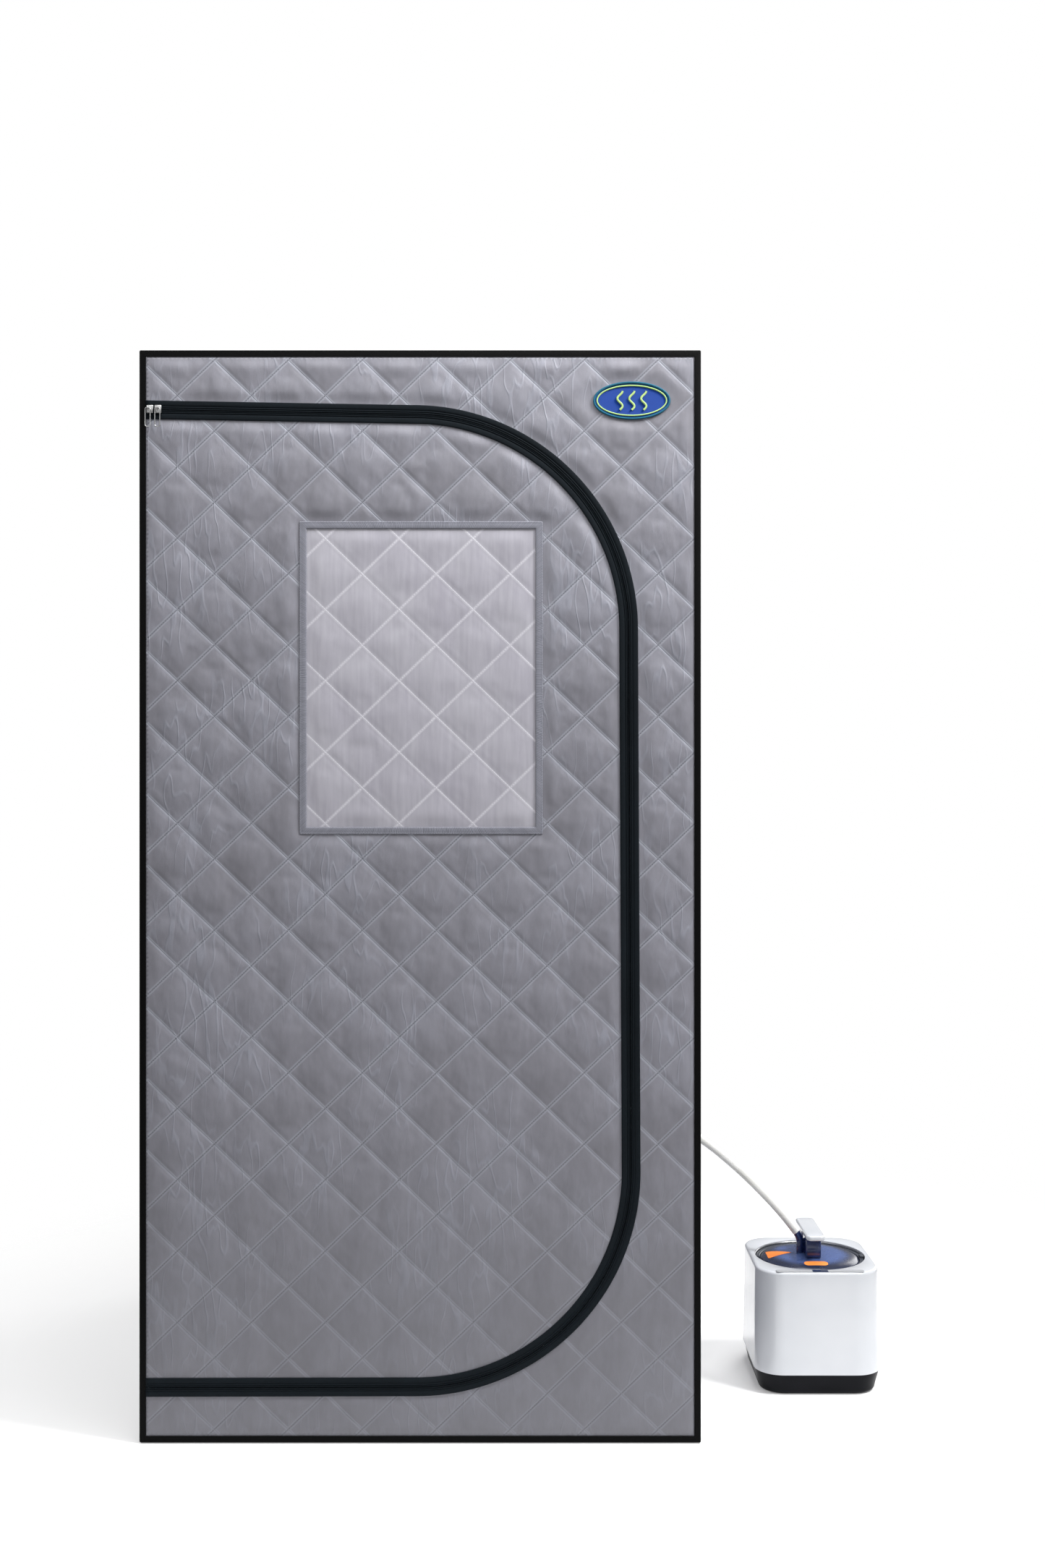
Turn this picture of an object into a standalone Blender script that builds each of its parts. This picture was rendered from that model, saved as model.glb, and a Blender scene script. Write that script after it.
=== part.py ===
"""Portable steam sauna: a framed, quilted steam tent and the steamer that feeds it through a hose.

Metres, +Z up. The origin is the centre of the tent's footprint on the floor. The door is on the -Y side,
and the steamer stands on the +X side.
"""

import math

import bmesh
import bpy
from mathutils import Matrix, Vector

# ---------------------------------------------------------------- driving dimensions

# Tent cover
TENT_WIDTH = 0.900
TENT_DEPTH = 0.900
TENT_HEIGHT = 1.751
HALF_WIDTH = TENT_WIDTH / 2
HALF_DEPTH = TENT_DEPTH / 2
BINDING_WIDTH = 0.0105      # visible width of the edge tape on each face
BINDING_THICK = 0.0043
BINDING_LIFT = 0.0008       # the tape clears the floor by this much
PANEL_THICK = 0.0035
PANEL_INSET = 0.0010        # panels sit this far behind the edge tape
GAP = 0.0003                # between pieces that touch
FLOOR_THICK = 0.0040
SEAM = BINDING_WIDTH + 0.0002

# Frame
TUBE_RADIUS = 0.0080
TUBE_WALL = 0.0010
SLEEVE_RADIUS = 0.0105
SOCKET_RADIUS = 0.0085
SLEEVE_REACH = 0.0420       # corner centre to the sleeve's mouth
SOCKET_FLOOR = 0.0140       # corner centre to the bottom of the socket
TUBE_END = 0.0145           # corner centre to the end of a tube
FRAME_OUT = 0.4335          # tube centre lines from the tent's middle, in X and in Y
FRAME_LOW = 0.0158
FRAME_HIGH = 1.7350
POST_JOINT = 0.8750         # height where the upper posts plug onto the lower ones
SPIGOT_RADIUS = 0.0064
SPIGOT_LENGTH = 0.0350
SHOULDER = 0.0040
TUBE_SIDES = 12

# Door and its zip: the zip's centre line, in the X-Z plane of the front
ZIP_LEFT = -0.4393
ZIP_TOP_LEFT = 1.6555
ZIP_TOP = 1.6480
ZIP_BOTTOM_LEFT = 0.0895
ZIP_BOTTOM = 0.0905
ZIP_RADIUS = 0.3440
ZIP_RIGHT_TOP = 0.3340
ZIP_RIGHT_BOTTOM = 0.3380
ARC_STEPS = 14
TAPE_WIDTH = 0.0150
TAPE_THICK = 0.0020
TAPE_SPLIT = 0.0004         # half the gap between the two tapes
CLOTH_SPLIT = 0.0020        # half the gap between the door's cloth and the front's

# Window
WINDOW_LOW = (-0.182, 0.987)
WINDOW_HIGH = (0.185, 1.465)
HEM_WIDTH = 0.0110
FILM_MARGIN = 0.0060
FILM_THICK = 0.0008
HEM_THICK = 0.0014
FLAP_MARGIN = 0.0160
FLAP_THICK = 0.0030
FLAP_FACE = -0.4443

# Badge
BADGE_CENTRE = (0.339, 1.670)
BADGE_SIZE = (0.124, 0.061)
BADGE_THICK = 0.0016

# Zip sliders and pulls
SLIDER_SIZE = (0.0110, 0.0044, 0.0130)
SLIDER_BACK = -0.4516
SLIDER_X = {"left": -0.4320, "right": -0.4190}
PULL_X = {"left": -0.4345, "right": -0.4190}
BRIDGE_SIZE = (0.0040, 0.0064, 0.0080)
BRIDGE_HOLE = 0.0028
PULL_PIVOT = (-0.4590, 1.6570)
PULL_LENGTH = 0.0310
PULL_WIDTH = 0.0080
PULL_WIRE = 0.0008
PULL_CORNER = 0.0018

# Steamer
STEAMER_X = 0.6790
STEAMER_Y = -0.1250
SHELL_BOTTOM = (0.220, 0.236)
SHELL_TOP = (0.214, 0.230)
SHELL_Z = (0.0360, 0.2125)
SHELL_WALL = 0.0025
SHELL_CORNER = 0.0480
SHELL_EDGE = 0.0050
MOUTH_RADIUS = 0.0970
BASE_TOP = (0.216, 0.232)
BASE_BOTTOM = (0.200, 0.216)
BASE_HEIGHT = 0.0357
BASE_EDGE = 0.0080
TURN_STEPS = 36
HANDLE_X = 0.6800
CAP_SIZE = (0.0330, 0.1320, 0.0090)
CAP_TOP = 0.2620
BLOCK_SIZE = (0.0260, 0.0800)
BLOCK_LOW = 0.2163
STRIP_SIZE = (0.1530, 0.0110, 0.0010)
STRIP_Y = -0.2315
INLET_SIZE = (0.0280, 0.0220, 0.0210)
INLET_Z = 0.0700
OUTLET_RADIUS = 0.0062
OUTLET_FOOT = (0.6615, STEAMER_Y, 0.2164)

# Hose
HOSE_RADIUS = 0.0070
PORT_Y = -0.1250
PORT_Z = 0.4415
PORT_BORE = 0.0120
PORT_FLANGE = 0.0250
HOSE_STEPS = 46
HOSE_ROUTE = (
    (0.6550, -0.1250, 0.2527),
    (0.6400, -0.1250, 0.2722),
    (0.6181, -0.1250, 0.2981),
    (0.5937, -0.1250, 0.3241),
    (0.5694, -0.1250, 0.3485),
    (0.5450, -0.1250, 0.3710),
    (0.5155, -0.1250, 0.3962),
    (0.4850, -0.1250, 0.4190),
    (0.4500, -0.1250, 0.4415),
    (0.4150, -0.1250, 0.4590),
    (0.3800, -0.1250, 0.4690),
    (0.3450, -0.1250, 0.4690),
    (0.3120, -0.1250, 0.4570),
    (0.2860, -0.1250, 0.4340),
    (0.2690, -0.1250, 0.4020),
    (0.2610, -0.1250, 0.3640),
    (0.2580, -0.1250, 0.3200),
    (0.2570, -0.1250, 0.2700),
    (0.2560, -0.1250, 0.2200),
    (0.2540, -0.1250, 0.1720),
    (0.2480, -0.1250, 0.1280),
    (0.2350, -0.1250, 0.0900),
    (0.2130, -0.1250, 0.0580),
    (0.1830, -0.1250, 0.0350),
    (0.1480, -0.1250, 0.0225),
    (0.1150, -0.1250, 0.0185),
    (0.0853, -0.1250, 0.0180),
)
DIFFUSER_SIZE = (0.0800, 0.0600, 0.0340)
DIFFUSER_X = 0.0260
DIFFUSER_STUB = (0.0060, 0.0180)

SAUNA = bpy.data.collections.new("portable_steam_sauna")
CUTTERS = bpy.data.collections.new("cutters")


# ---------------------------------------------------------------- helpers

def clear_scene():
    for item in list(bpy.data.objects):
        bpy.data.objects.remove(item, do_unlink=True)
    bpy.context.scene.collection.children.link(SAUNA)
    bpy.context.scene.collection.children.link(CUTTERS)


def finish(name, colour, roughness, metallic=0.0):
    """A Principled BSDF material."""
    material = bpy.data.materials.new(name)
    material.use_nodes = True
    shader = material.node_tree.nodes["Principled BSDF"]
    shader.inputs["Base Color"].default_value = (*colour, 1.0)
    shader.inputs["Roughness"].default_value = roughness
    shader.inputs["Metallic"].default_value = metallic
    return material


def place(name, data, material, location=(0, 0, 0), rotation=(0, 0, 0)):
    """Puts a mesh or curve in the sauna's collection as one named piece."""
    piece = bpy.data.objects.new(name, data)
    piece.location = location
    piece.rotation_euler = rotation
    if not data.materials:
        data.materials.append(material)
    SAUNA.objects.link(piece)
    return piece


def mesh_of(form, name):
    mesh = bpy.data.meshes.new(name)
    form.to_mesh(mesh)
    form.free()
    return mesh


def block_form(low, high):
    """A box between two corners, as a bmesh."""
    form = bmesh.new()
    size = [b - a for a, b in zip(low, high)]
    middle = [(a + b) / 2 for a, b in zip(low, high)]
    bmesh.ops.create_cube(form, size=1.0)
    bmesh.ops.scale(form, vec=size, verts=form.verts)
    bmesh.ops.translate(form, vec=middle, verts=form.verts)
    return form


def soften(form, edges, width, segments):
    bmesh.ops.bevel(form, geom=edges, offset=width, offset_type="OFFSET", segments=segments,
                    profile=0.5, affect="EDGES", clamp_overlap=True, material=-1)


def block(name, low, high, material, edge=0.0, segments=2):
    form = block_form(low, high)
    if edge:
        soften(form, form.edges[:], edge, segments)
    return place(name, mesh_of(form, name), material)


def hidden(piece):
    """Makes a piece a cutter: kept as a guide and left out of the sauna."""
    SAUNA.objects.unlink(piece)
    CUTTERS.objects.link(piece)
    piece.hide_render = True
    piece.display_type = "WIRE"
    return piece


def cutter_block(name, low, high):
    return hidden(place(name, mesh_of(block_form(low, high), name), NO_FINISH))


def cutter_rod(name, radius, depth, location, rotation=(0, 0, 0), sides=24):
    form = bmesh.new()
    bmesh.ops.create_cone(form, cap_ends=True, segments=sides, radius1=radius, radius2=radius, depth=depth)
    return hidden(place(name, mesh_of(form, name), NO_FINISH, location, rotation))


def combine(piece, other, operation):
    change = piece.modifiers.new(operation.lower() + "_" + other.name, "BOOLEAN")
    change.operation = operation
    change.solver = "EXACT"
    change.object = other


def turned(name, profile, material, location=(0, 0, 0), rotation=(0, 0, 0), steps=TURN_STEPS, ring=False):
    """A turned piece: the profile (radius, height) runs down the outer side, then back up the inside."""
    form = bmesh.new()
    points = [form.verts.new((radius, 0.0, height)) for radius, height in profile]
    for first, second in zip(points, points[1:]):
        form.edges.new((first, second))
    if ring:
        form.edges.new((points[-1], points[0]))
    piece = place(name, mesh_of(form, name), material, location, rotation)
    spin = piece.modifiers.new("turn", "SCREW")
    spin.steps = steps
    spin.render_steps = steps
    spin.use_merge_vertices = True
    spin.merge_threshold = 0.00005
    spin.use_smooth_shade = True
    return piece


def outline_curve(name, outlines, half_thick):
    """A flat sheet from closed outlines, given as (u, v) points; inner outlines are holes."""
    curve = bpy.data.curves.new(name, "CURVE")
    curve.dimensions = "2D"
    curve.fill_mode = "BOTH"
    curve.extrude = half_thick
    for points in outlines:
        spline = curve.splines.new("POLY")
        spline.points.add(len(points) - 1)
        for slot, (u, v) in zip(spline.points, points):
            slot.co = (u, v, 0.0, 1.0)
        spline.use_cyclic_u = True
    return curve


def front_sheet(name, outlines, face_y, thick, material):
    """A sheet in the X-Z plane whose outer face is at face_y, and which is `thick` deep towards +Y."""
    return place(name, outline_curve(name, outlines, thick / 2), material,
                 (0, face_y + thick / 2, 0), (math.pi / 2, 0, 0))


def rectangle(low, high):
    return [(low[0], low[1]), (high[0], low[1]), (high[0], high[1]), (low[0], high[1])]


def grown(low, high, by):
    return (low[0] - by, low[1] - by), (high[0] + by, high[1] + by)


def arc(centre, radius, start, end, steps):
    """Points on an arc, angles in degrees."""
    return [(centre[0] + radius * math.cos(math.radians(start + (end - start) * i / steps)),
             centre[1] + radius * math.sin(math.radians(start + (end - start) * i / steps)))
            for i in range(steps + 1)]


def zip_line(offset):
    """The zip's line from its upper left end round to its lower left end, moved outwards by offset."""
    top_centre = (ZIP_RIGHT_TOP - ZIP_RADIUS, ZIP_TOP - ZIP_RADIUS)
    low_centre = (ZIP_RIGHT_BOTTOM - ZIP_RADIUS, ZIP_BOTTOM + ZIP_RADIUS)
    radius = ZIP_RADIUS + offset
    return ([(ZIP_LEFT, ZIP_TOP_LEFT + offset)]
            + arc(top_centre, radius, 90, 0, ARC_STEPS)
            + arc(low_centre, radius, 0, -90, ARC_STEPS)
            + [(ZIP_LEFT, ZIP_BOTTOM_LEFT - offset)])


def smooth_route(points, count):
    """Evenly counted points on a Catmull-Rom curve through the route's own points."""
    knots = [Vector(p) for p in points]
    knots = [2 * knots[0] - knots[1]] + knots + [2 * knots[-1] - knots[-2]]
    spans = len(points) - 1
    result = []
    for i in range(count + 1):
        along = spans * i / count
        span = min(int(along), spans - 1)
        t = along - span
        a, b, c, d = knots[span:span + 4]
        result.append(0.5 * ((2 * b) + (c - a) * t + (2 * a - 5 * b + 4 * c - d) * t ** 2
                             + (3 * b - a - 3 * c + d) * t ** 3))
    return result


def wire(name, points, radius, material, cyclic=False, resolution=2, caps=True):
    curve = bpy.data.curves.new(name, "CURVE")
    curve.dimensions = "3D"
    curve.bevel_depth = radius
    curve.bevel_resolution = resolution
    curve.use_fill_caps = caps
    spline = curve.splines.new("POLY")
    spline.points.add(len(points) - 1)
    for slot, point in zip(spline.points, points):
        slot.co = (*point, 1.0)
    spline.use_cyclic_u = cyclic
    return place(name, curve, material)


def settled(piece):
    """The piece with its modifiers applied, or its curve made a mesh, as a new mesh piece of that name."""
    bpy.context.view_layer.update()
    evaluated = piece.evaluated_get(bpy.context.evaluated_depsgraph_get())
    mesh = bpy.data.meshes.new_from_object(evaluated)
    form = bmesh.new()
    form.from_mesh(mesh)
    bmesh.ops.remove_doubles(form, verts=form.verts, dist=0.00002)
    form.to_mesh(mesh)
    form.free()
    name, place_matrix, material = piece.name, piece.matrix_world.copy(), piece.data.materials[0]
    bpy.data.objects.remove(piece, do_unlink=True)
    solid = place(name, mesh, material)
    solid.matrix_world = place_matrix
    return solid


# ---------------------------------------------------------------- finishes

clear_scene()
NO_FINISH = finish("guide", (0.5, 0.5, 0.5), 0.5)
QUILT = finish("quilted_cloth", (0.27, 0.27, 0.31), 0.45)
BINDING = finish("edge_tape", (0.004, 0.004, 0.005), 0.75)
ZIP_CLOTH = finish("zip_tape", (0.012, 0.016, 0.022), 0.65)
ZIP_METAL = finish("zip_metal", (0.45, 0.45, 0.45), 0.35, 1.0)
FILM = finish("window_film", (0.60, 0.58, 0.64), 0.25)
STEEL = finish("frame_tube", (0.70, 0.71, 0.72), 0.30, 0.9)
FITTING = finish("frame_fitting", (0.03, 0.03, 0.03), 0.50)
MAT = finish("floor_cloth", (0.10, 0.10, 0.11), 0.60)
BADGE = finish("badge", (0.02, 0.10, 0.50), 0.70)
WHITE = finish("white_shell", (0.85, 0.86, 0.88), 0.18)
BLACK = finish("black_base", (0.015, 0.015, 0.018), 0.40)
BLUE = finish("blue_lid", (0.02, 0.06, 0.25), 0.08)
STAINLESS = finish("tank_steel", (0.65, 0.66, 0.67), 0.25, 1.0)
RUBBER = finish("seal_rubber", (0.75, 0.75, 0.74), 0.60)
ORANGE = finish("orange_label", (0.90, 0.25, 0.03), 0.50)
HOSE = finish("hose_plastic", (0.80, 0.80, 0.78), 0.35)
BOARD = finish("circuit_board", (0.02, 0.20, 0.08), 0.50)
STRIP = finish("control_strip", (0.25, 0.26, 0.30), 0.10)


# ---------------------------------------------------------------- frame

def corner_mesh():
    """A three-way push-fit corner, its sockets opening along +X, +Y and +Z."""
    hub = block("corner_hub", (-0.0105,) * 3, (0.0105,) * 3, FITTING, edge=0.0030, segments=1)
    turns = ((0, math.pi / 2, 0), (-math.pi / 2, 0, 0), (0, 0, 0))
    ways = (Vector((1, 0, 0)), Vector((0, 1, 0)), Vector((0, 0, 1)))
    socket_depth = SLEEVE_REACH - SOCKET_FLOOR + 0.002
    guides = []
    for index, (turn, way) in enumerate(zip(turns, ways)):
        sleeve = cutter_rod(f"sleeve_{index}", SLEEVE_RADIUS, SLEEVE_REACH, way * SLEEVE_REACH / 2, turn,
                            TUBE_SIDES)
        combine(hub, sleeve, "UNION")
        guides.append(sleeve)
    for index, (turn, way) in enumerate(zip(turns, ways)):
        socket = cutter_rod(f"socket_{index}", SOCKET_RADIUS, socket_depth,
                            way * (SOCKET_FLOOR + socket_depth / 2), turn, TUBE_SIDES)
        combine(hub, socket, "DIFFERENCE")
        guides.append(socket)
    hub = settled(hub)
    mesh = hub.data
    for item in [hub, *guides]:
        bpy.data.objects.remove(item, do_unlink=True)
    return mesh


def frame_tube(name, start, length, turn):
    profile = [(TUBE_RADIUS, length), (TUBE_RADIUS, 0.0), (TUBE_RADIUS - TUBE_WALL, 0.0),
               (TUBE_RADIUS - TUBE_WALL, length)]
    return turned(name, profile, STEEL, start, turn, TUBE_SIDES, ring=True)


def frame():
    mesh = corner_mesh()
    span = 2 * (FRAME_OUT - TUBE_END)
    along_x, along_y, upright = (0, math.pi / 2, 0), (-math.pi / 2, 0, 0), (0, 0, 0)
    quarter_turns = {("left", "front"): 0, ("right", "front"): 1, ("right", "rear"): 2, ("left", "rear"): 3}
    side_x = {"left": -FRAME_OUT, "right": FRAME_OUT}
    side_y = {"front": -FRAME_OUT, "rear": FRAME_OUT}
    for (side, end), quarter in quarter_turns.items():
        x, y = side_x[side], side_y[end]
        about_z = Matrix.Rotation(quarter * math.pi / 2, 4, "Z")
        low = place(f"base_corner_{side}_{end}", mesh, FITTING)
        low.matrix_world = Matrix.Translation((x, y, FRAME_LOW)) @ about_z
        high = place(f"top_corner_{side}_{end}", mesh, FITTING)
        upside_down = Matrix.Rotation(math.pi / 2, 4, "Z") @ Matrix.Rotation(math.pi, 4, "X")
        high.matrix_world = Matrix.Translation((x, y, FRAME_HIGH)) @ about_z @ upside_down
        low_start, high_end = FRAME_LOW + TUBE_END, FRAME_HIGH - TUBE_END
        neck = TUBE_RADIUS - SPIGOT_RADIUS
        lower = [
            (SPIGOT_RADIUS, POST_JOINT + SPIGOT_LENGTH), (SPIGOT_RADIUS, POST_JOINT + SHOULDER),
            (TUBE_RADIUS, POST_JOINT - SHOULDER), (TUBE_RADIUS, low_start),
            (TUBE_RADIUS - TUBE_WALL, low_start), (TUBE_RADIUS - TUBE_WALL, POST_JOINT - SHOULDER),
            (TUBE_RADIUS - TUBE_WALL - neck, POST_JOINT + SHOULDER),
            (TUBE_RADIUS - TUBE_WALL - neck, POST_JOINT + SPIGOT_LENGTH),
        ]
        turned(f"lower_post_{side}_{end}", lower, STEEL, (x, y, 0), upright, TUBE_SIDES, ring=True)
        upper_start = POST_JOINT + SHOULDER
        frame_tube(f"upper_post_{side}_{end}", (x, y, upper_start), high_end - upper_start, upright)
    for level, z in (("base", FRAME_LOW), ("top", FRAME_HIGH)):
        for end, y in side_y.items():
            frame_tube(f"{level}_rail_{end}", (-span / 2, y, z), span, along_x)
        for side, x in side_x.items():
            frame_tube(f"{level}_rail_{side}", (x, -span / 2, z), span, along_y)


# ---------------------------------------------------------------- cover

PANEL_FACE = HALF_DEPTH - PANEL_INSET
PANEL_EDGE = HALF_WIDTH - SEAM
PANEL_LOW = BINDING_LIFT + SEAM
PANEL_HIGH = TENT_HEIGHT - SEAM


def edge_binding():
    """The tape along all twelve edges, L-shaped in section, as one cage."""
    cage = block("edge_binding", (-HALF_WIDTH, -HALF_DEPTH, BINDING_LIFT),
                 (HALF_WIDTH, HALF_DEPTH, TENT_HEIGHT),
                 BINDING, edge=0.0030, segments=2)
    inner = HALF_WIDTH - BINDING_THICK
    window = HALF_WIDTH - BINDING_WIDTH
    low, high = BINDING_LIFT + BINDING_THICK, TENT_HEIGHT - BINDING_THICK
    sill, lintel = BINDING_LIFT + BINDING_WIDTH, TENT_HEIGHT - BINDING_WIDTH
    combine(cage, cutter_block("cage_inside", (-inner, -inner, low), (inner, inner, high)), "DIFFERENCE")
    combine(cage, cutter_block("cage_x", (-1, -window, sill), (1, window, lintel)), "DIFFERENCE")
    combine(cage, cutter_block("cage_y", (-window, -1, sill), (window, 1, lintel)), "DIFFERENCE")
    combine(cage, cutter_block("cage_z", (-window, -window, -1), (window, window, 3)), "DIFFERENCE")


def cover():
    edge_binding()
    block("floor_mat", (-PANEL_EDGE, -PANEL_EDGE, 0.0), (PANEL_EDGE, PANEL_EDGE, FLOOR_THICK), MAT)
    roof_top = TENT_HEIGHT - PANEL_INSET
    block("roof_panel", (-PANEL_EDGE, -PANEL_EDGE, roof_top - PANEL_THICK),
          (PANEL_EDGE, PANEL_EDGE, roof_top), QUILT)
    block("rear_panel", (-PANEL_EDGE, PANEL_FACE - PANEL_THICK, PANEL_LOW),
          (PANEL_EDGE, PANEL_FACE, PANEL_HIGH), QUILT)
    block("left_panel", (-PANEL_FACE, -PANEL_EDGE, PANEL_LOW),
          (-PANEL_FACE + PANEL_THICK, PANEL_EDGE, PANEL_HIGH),
          QUILT)
    right = block("right_panel", (PANEL_FACE - PANEL_THICK, -PANEL_EDGE, PANEL_LOW),
                  (PANEL_FACE, PANEL_EDGE, PANEL_HIGH), QUILT)
    port_hole = cutter_rod("port_hole", PORT_BORE + 0.0022, 0.03, (PANEL_FACE, PORT_Y, PORT_Z),
                           (0, math.pi / 2, 0))
    combine(right, port_hole, "DIFFERENCE")
    doorway = zip_line(CLOTH_SPLIT)
    outline = [(ZIP_LEFT, PANEL_HIGH), *doorway, (ZIP_LEFT, PANEL_LOW), (PANEL_EDGE, PANEL_LOW),
               (PANEL_EDGE, PANEL_HIGH)]
    front_sheet("front_panel", [outline], -PANEL_FACE, PANEL_THICK, QUILT)


# ---------------------------------------------------------------- door

def zip_tapes():
    tape_face = -PANEL_FACE - GAP - TAPE_THICK
    for name, near, far in (("front_zip_tape", TAPE_SPLIT, TAPE_WIDTH),
                            ("door_zip_tape", -TAPE_SPLIT, -TAPE_WIDTH)):
        outline = zip_line(near) + zip_line(far)[::-1]
        front_sheet(name, [outline], tape_face, TAPE_THICK, ZIP_CLOTH)


def window():
    hole_low, hole_high = grown(WINDOW_LOW, WINDOW_HIGH, FILM_MARGIN + GAP)
    front_sheet("door_panel", [zip_line(-CLOTH_SPLIT), rectangle(hole_low, hole_high)], -PANEL_FACE,
                PANEL_THICK, QUILT)
    film_low, film_high = grown(WINDOW_LOW, WINDOW_HIGH, FILM_MARGIN)
    front_sheet("window_film", [rectangle(film_low, film_high)], -PANEL_FACE + GAP, FILM_THICK, FILM)
    hem_low, hem_high = grown(WINDOW_LOW, WINDOW_HIGH, HEM_WIDTH)
    front_sheet("window_hem", [rectangle(hem_low, hem_high), rectangle(WINDOW_LOW, WINDOW_HIGH)],
                -PANEL_FACE - GAP - HEM_THICK, HEM_THICK, QUILT)
    flap_low, flap_high = grown(WINDOW_LOW, WINDOW_HIGH, FLAP_MARGIN)
    block("window_flap", (flap_low[0], FLAP_FACE, flap_low[1]),
          (flap_high[0], FLAP_FACE + FLAP_THICK, flap_high[1]),
          QUILT)


def zip_slider(side):
    """A slider body with a bridge that its pull hangs in. The body's origin is on the zip's line."""
    width, depth, height = SLIDER_SIZE
    x, z = SLIDER_X[side], ZIP_TOP_LEFT
    front = SLIDER_BACK - depth
    slider = block(f"zip_slider_{side}", (x - width / 2, front, z - height / 2),
                   (x + width / 2, SLIDER_BACK, z + height / 2), ZIP_METAL, edge=0.0012, segments=2)
    reach, tall = BRIDGE_SIZE[1], BRIDGE_SIZE[2]
    pivot_y, pivot_z = PULL_PIVOT
    bridge_x = PULL_X[side]
    bridge = cutter_block(f"bridge_{side}",
                          (bridge_x - BRIDGE_SIZE[0] / 2, pivot_y - reach / 2, pivot_z - tall / 2),
                          (bridge_x + BRIDGE_SIZE[0] / 2, pivot_y + reach / 2, pivot_z + tall / 2))
    half = BRIDGE_HOLE / 2
    hole = cutter_block(f"bridge_hole_{side}", (bridge_x - 0.01, pivot_y - half, pivot_z - half),
                        (bridge_x + 0.01, pivot_y + half, pivot_z + half))
    combine(slider, bridge, "UNION")
    combine(slider, hole, "DIFFERENCE")


def zip_pull(side):
    """A long wire loop, hanging from the bar that passes through the slider's bridge."""
    pivot_y, pivot_z = PULL_PIVOT
    half, corner, bottom = PULL_WIDTH / 2, PULL_CORNER, pivot_z - PULL_LENGTH + PULL_WIRE
    loop = (arc((half - corner, -corner), corner, 90, 0, 4)
            + arc((0, bottom - pivot_z + half), half, 0, -180, 10)
            + arc((-half + corner, -corner), corner, 180, 90, 4))
    points = [(PULL_X[side] + u, pivot_y, pivot_z + v) for u, v in loop]
    return settled(wire(f"zip_pull_{side}", points, PULL_WIRE, ZIP_METAL, cyclic=True, caps=False))


def door():
    zip_tapes()
    window()
    for side in ("left", "right"):
        zip_slider(side)
        zip_pull(side)
    centre_x, centre_z = BADGE_CENTRE
    ring = [(centre_x + BADGE_SIZE[0] / 2 * math.cos(math.tau * i / 32),
             centre_z + BADGE_SIZE[1] / 2 * math.sin(math.tau * i / 32)) for i in range(32)]
    front_sheet("badge", [ring], -PANEL_FACE - GAP - BADGE_THICK, BADGE_THICK, BADGE)


# ---------------------------------------------------------------- steamer

def tapered_block(low_size, high_size, low_z, high_z, corner):
    """A rounded-square column whose footprint changes from low_size to high_size."""
    form = block_form((-0.5, -0.5, low_z), (0.5, 0.5, high_z))
    bmesh.ops.scale(form, vec=(low_size[0], low_size[1], 1), verts=form.verts)
    uprights = [e for e in form.edges if abs(e.verts[0].co.z - e.verts[1].co.z) > (high_z - low_z) / 2]
    soften(form, uprights, corner, 6)
    tops = [v for v in form.verts if v.co.z > (low_z + high_z) / 2]
    bmesh.ops.scale(form, vec=(high_size[0] / low_size[0], high_size[1] / low_size[1], 1), verts=tops)
    return form


def rim_edges(form, z):
    return [e for e in form.edges if all(abs(v.co.z - z) < 1e-6 for v in e.verts)]


def open_face(form, z):
    faces = [f for f in form.faces if all(abs(v.co.z - z) < 1e-6 for v in f.verts)]
    bmesh.ops.delete(form, geom=faces, context="FACES_ONLY")


def walled(piece, thick):
    wall = piece.modifiers.new("wall", "SOLIDIFY")
    wall.thickness = thick
    wall.offset = -1.0
    wall.use_even_offset = True


def shell():
    form = tapered_block(SHELL_BOTTOM, SHELL_TOP, *SHELL_Z, SHELL_CORNER)
    soften(form, rim_edges(form, SHELL_Z[1]), SHELL_EDGE, 3)
    open_face(form, SHELL_Z[0])
    piece = place("steamer_shell", mesh_of(form, "steamer_shell"), WHITE, (STEAMER_X, STEAMER_Y, 0))
    walled(piece, SHELL_WALL)
    mouth = cutter_rod("shell_mouth", MOUTH_RADIUS, 0.03, (STEAMER_X, STEAMER_Y, SHELL_Z[1]),
                       sides=TURN_STEPS)
    combine(piece, mouth, "DIFFERENCE")
    rear = STEAMER_Y + SHELL_BOTTOM[1] / 2
    half_w, half_h = INLET_SIZE[0] / 2 + GAP, INLET_SIZE[2] / 2 + GAP
    slot = cutter_block("inlet_hole", (STEAMER_X - half_w, rear - 0.02, INLET_Z - half_h),
                        (STEAMER_X + half_w, rear + 0.02, INLET_Z + half_h))
    combine(piece, slot, "DIFFERENCE")


def base():
    form = tapered_block(BASE_BOTTOM, BASE_TOP, 0.0, BASE_HEIGHT, SHELL_CORNER - 0.006)
    soften(form, rim_edges(form, 0.0), BASE_EDGE, 3)
    open_face(form, BASE_HEIGHT)
    piece = place("steamer_base", mesh_of(form, "steamer_base"), BLACK, (STEAMER_X, STEAMER_Y, 0))
    walled(piece, 0.0030)


def inlet():
    width, depth, height = INLET_SIZE
    outer = STEAMER_Y + SHELL_BOTTOM[1] / 2 + 0.0002
    piece = block("power_inlet", (STEAMER_X - width / 2, outer - depth, INLET_Z - height / 2),
                  (STEAMER_X + width / 2, outer, INLET_Z + height / 2), BLACK)
    socket = cutter_block("inlet_socket",
                          (STEAMER_X - width / 2 + 0.0020, outer - depth + 0.0060, INLET_Z - 0.0080),
                          (STEAMER_X + width / 2 - 0.0020, outer + 0.01, INLET_Z + 0.0080))
    combine(piece, socket, "DIFFERENCE")


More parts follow.
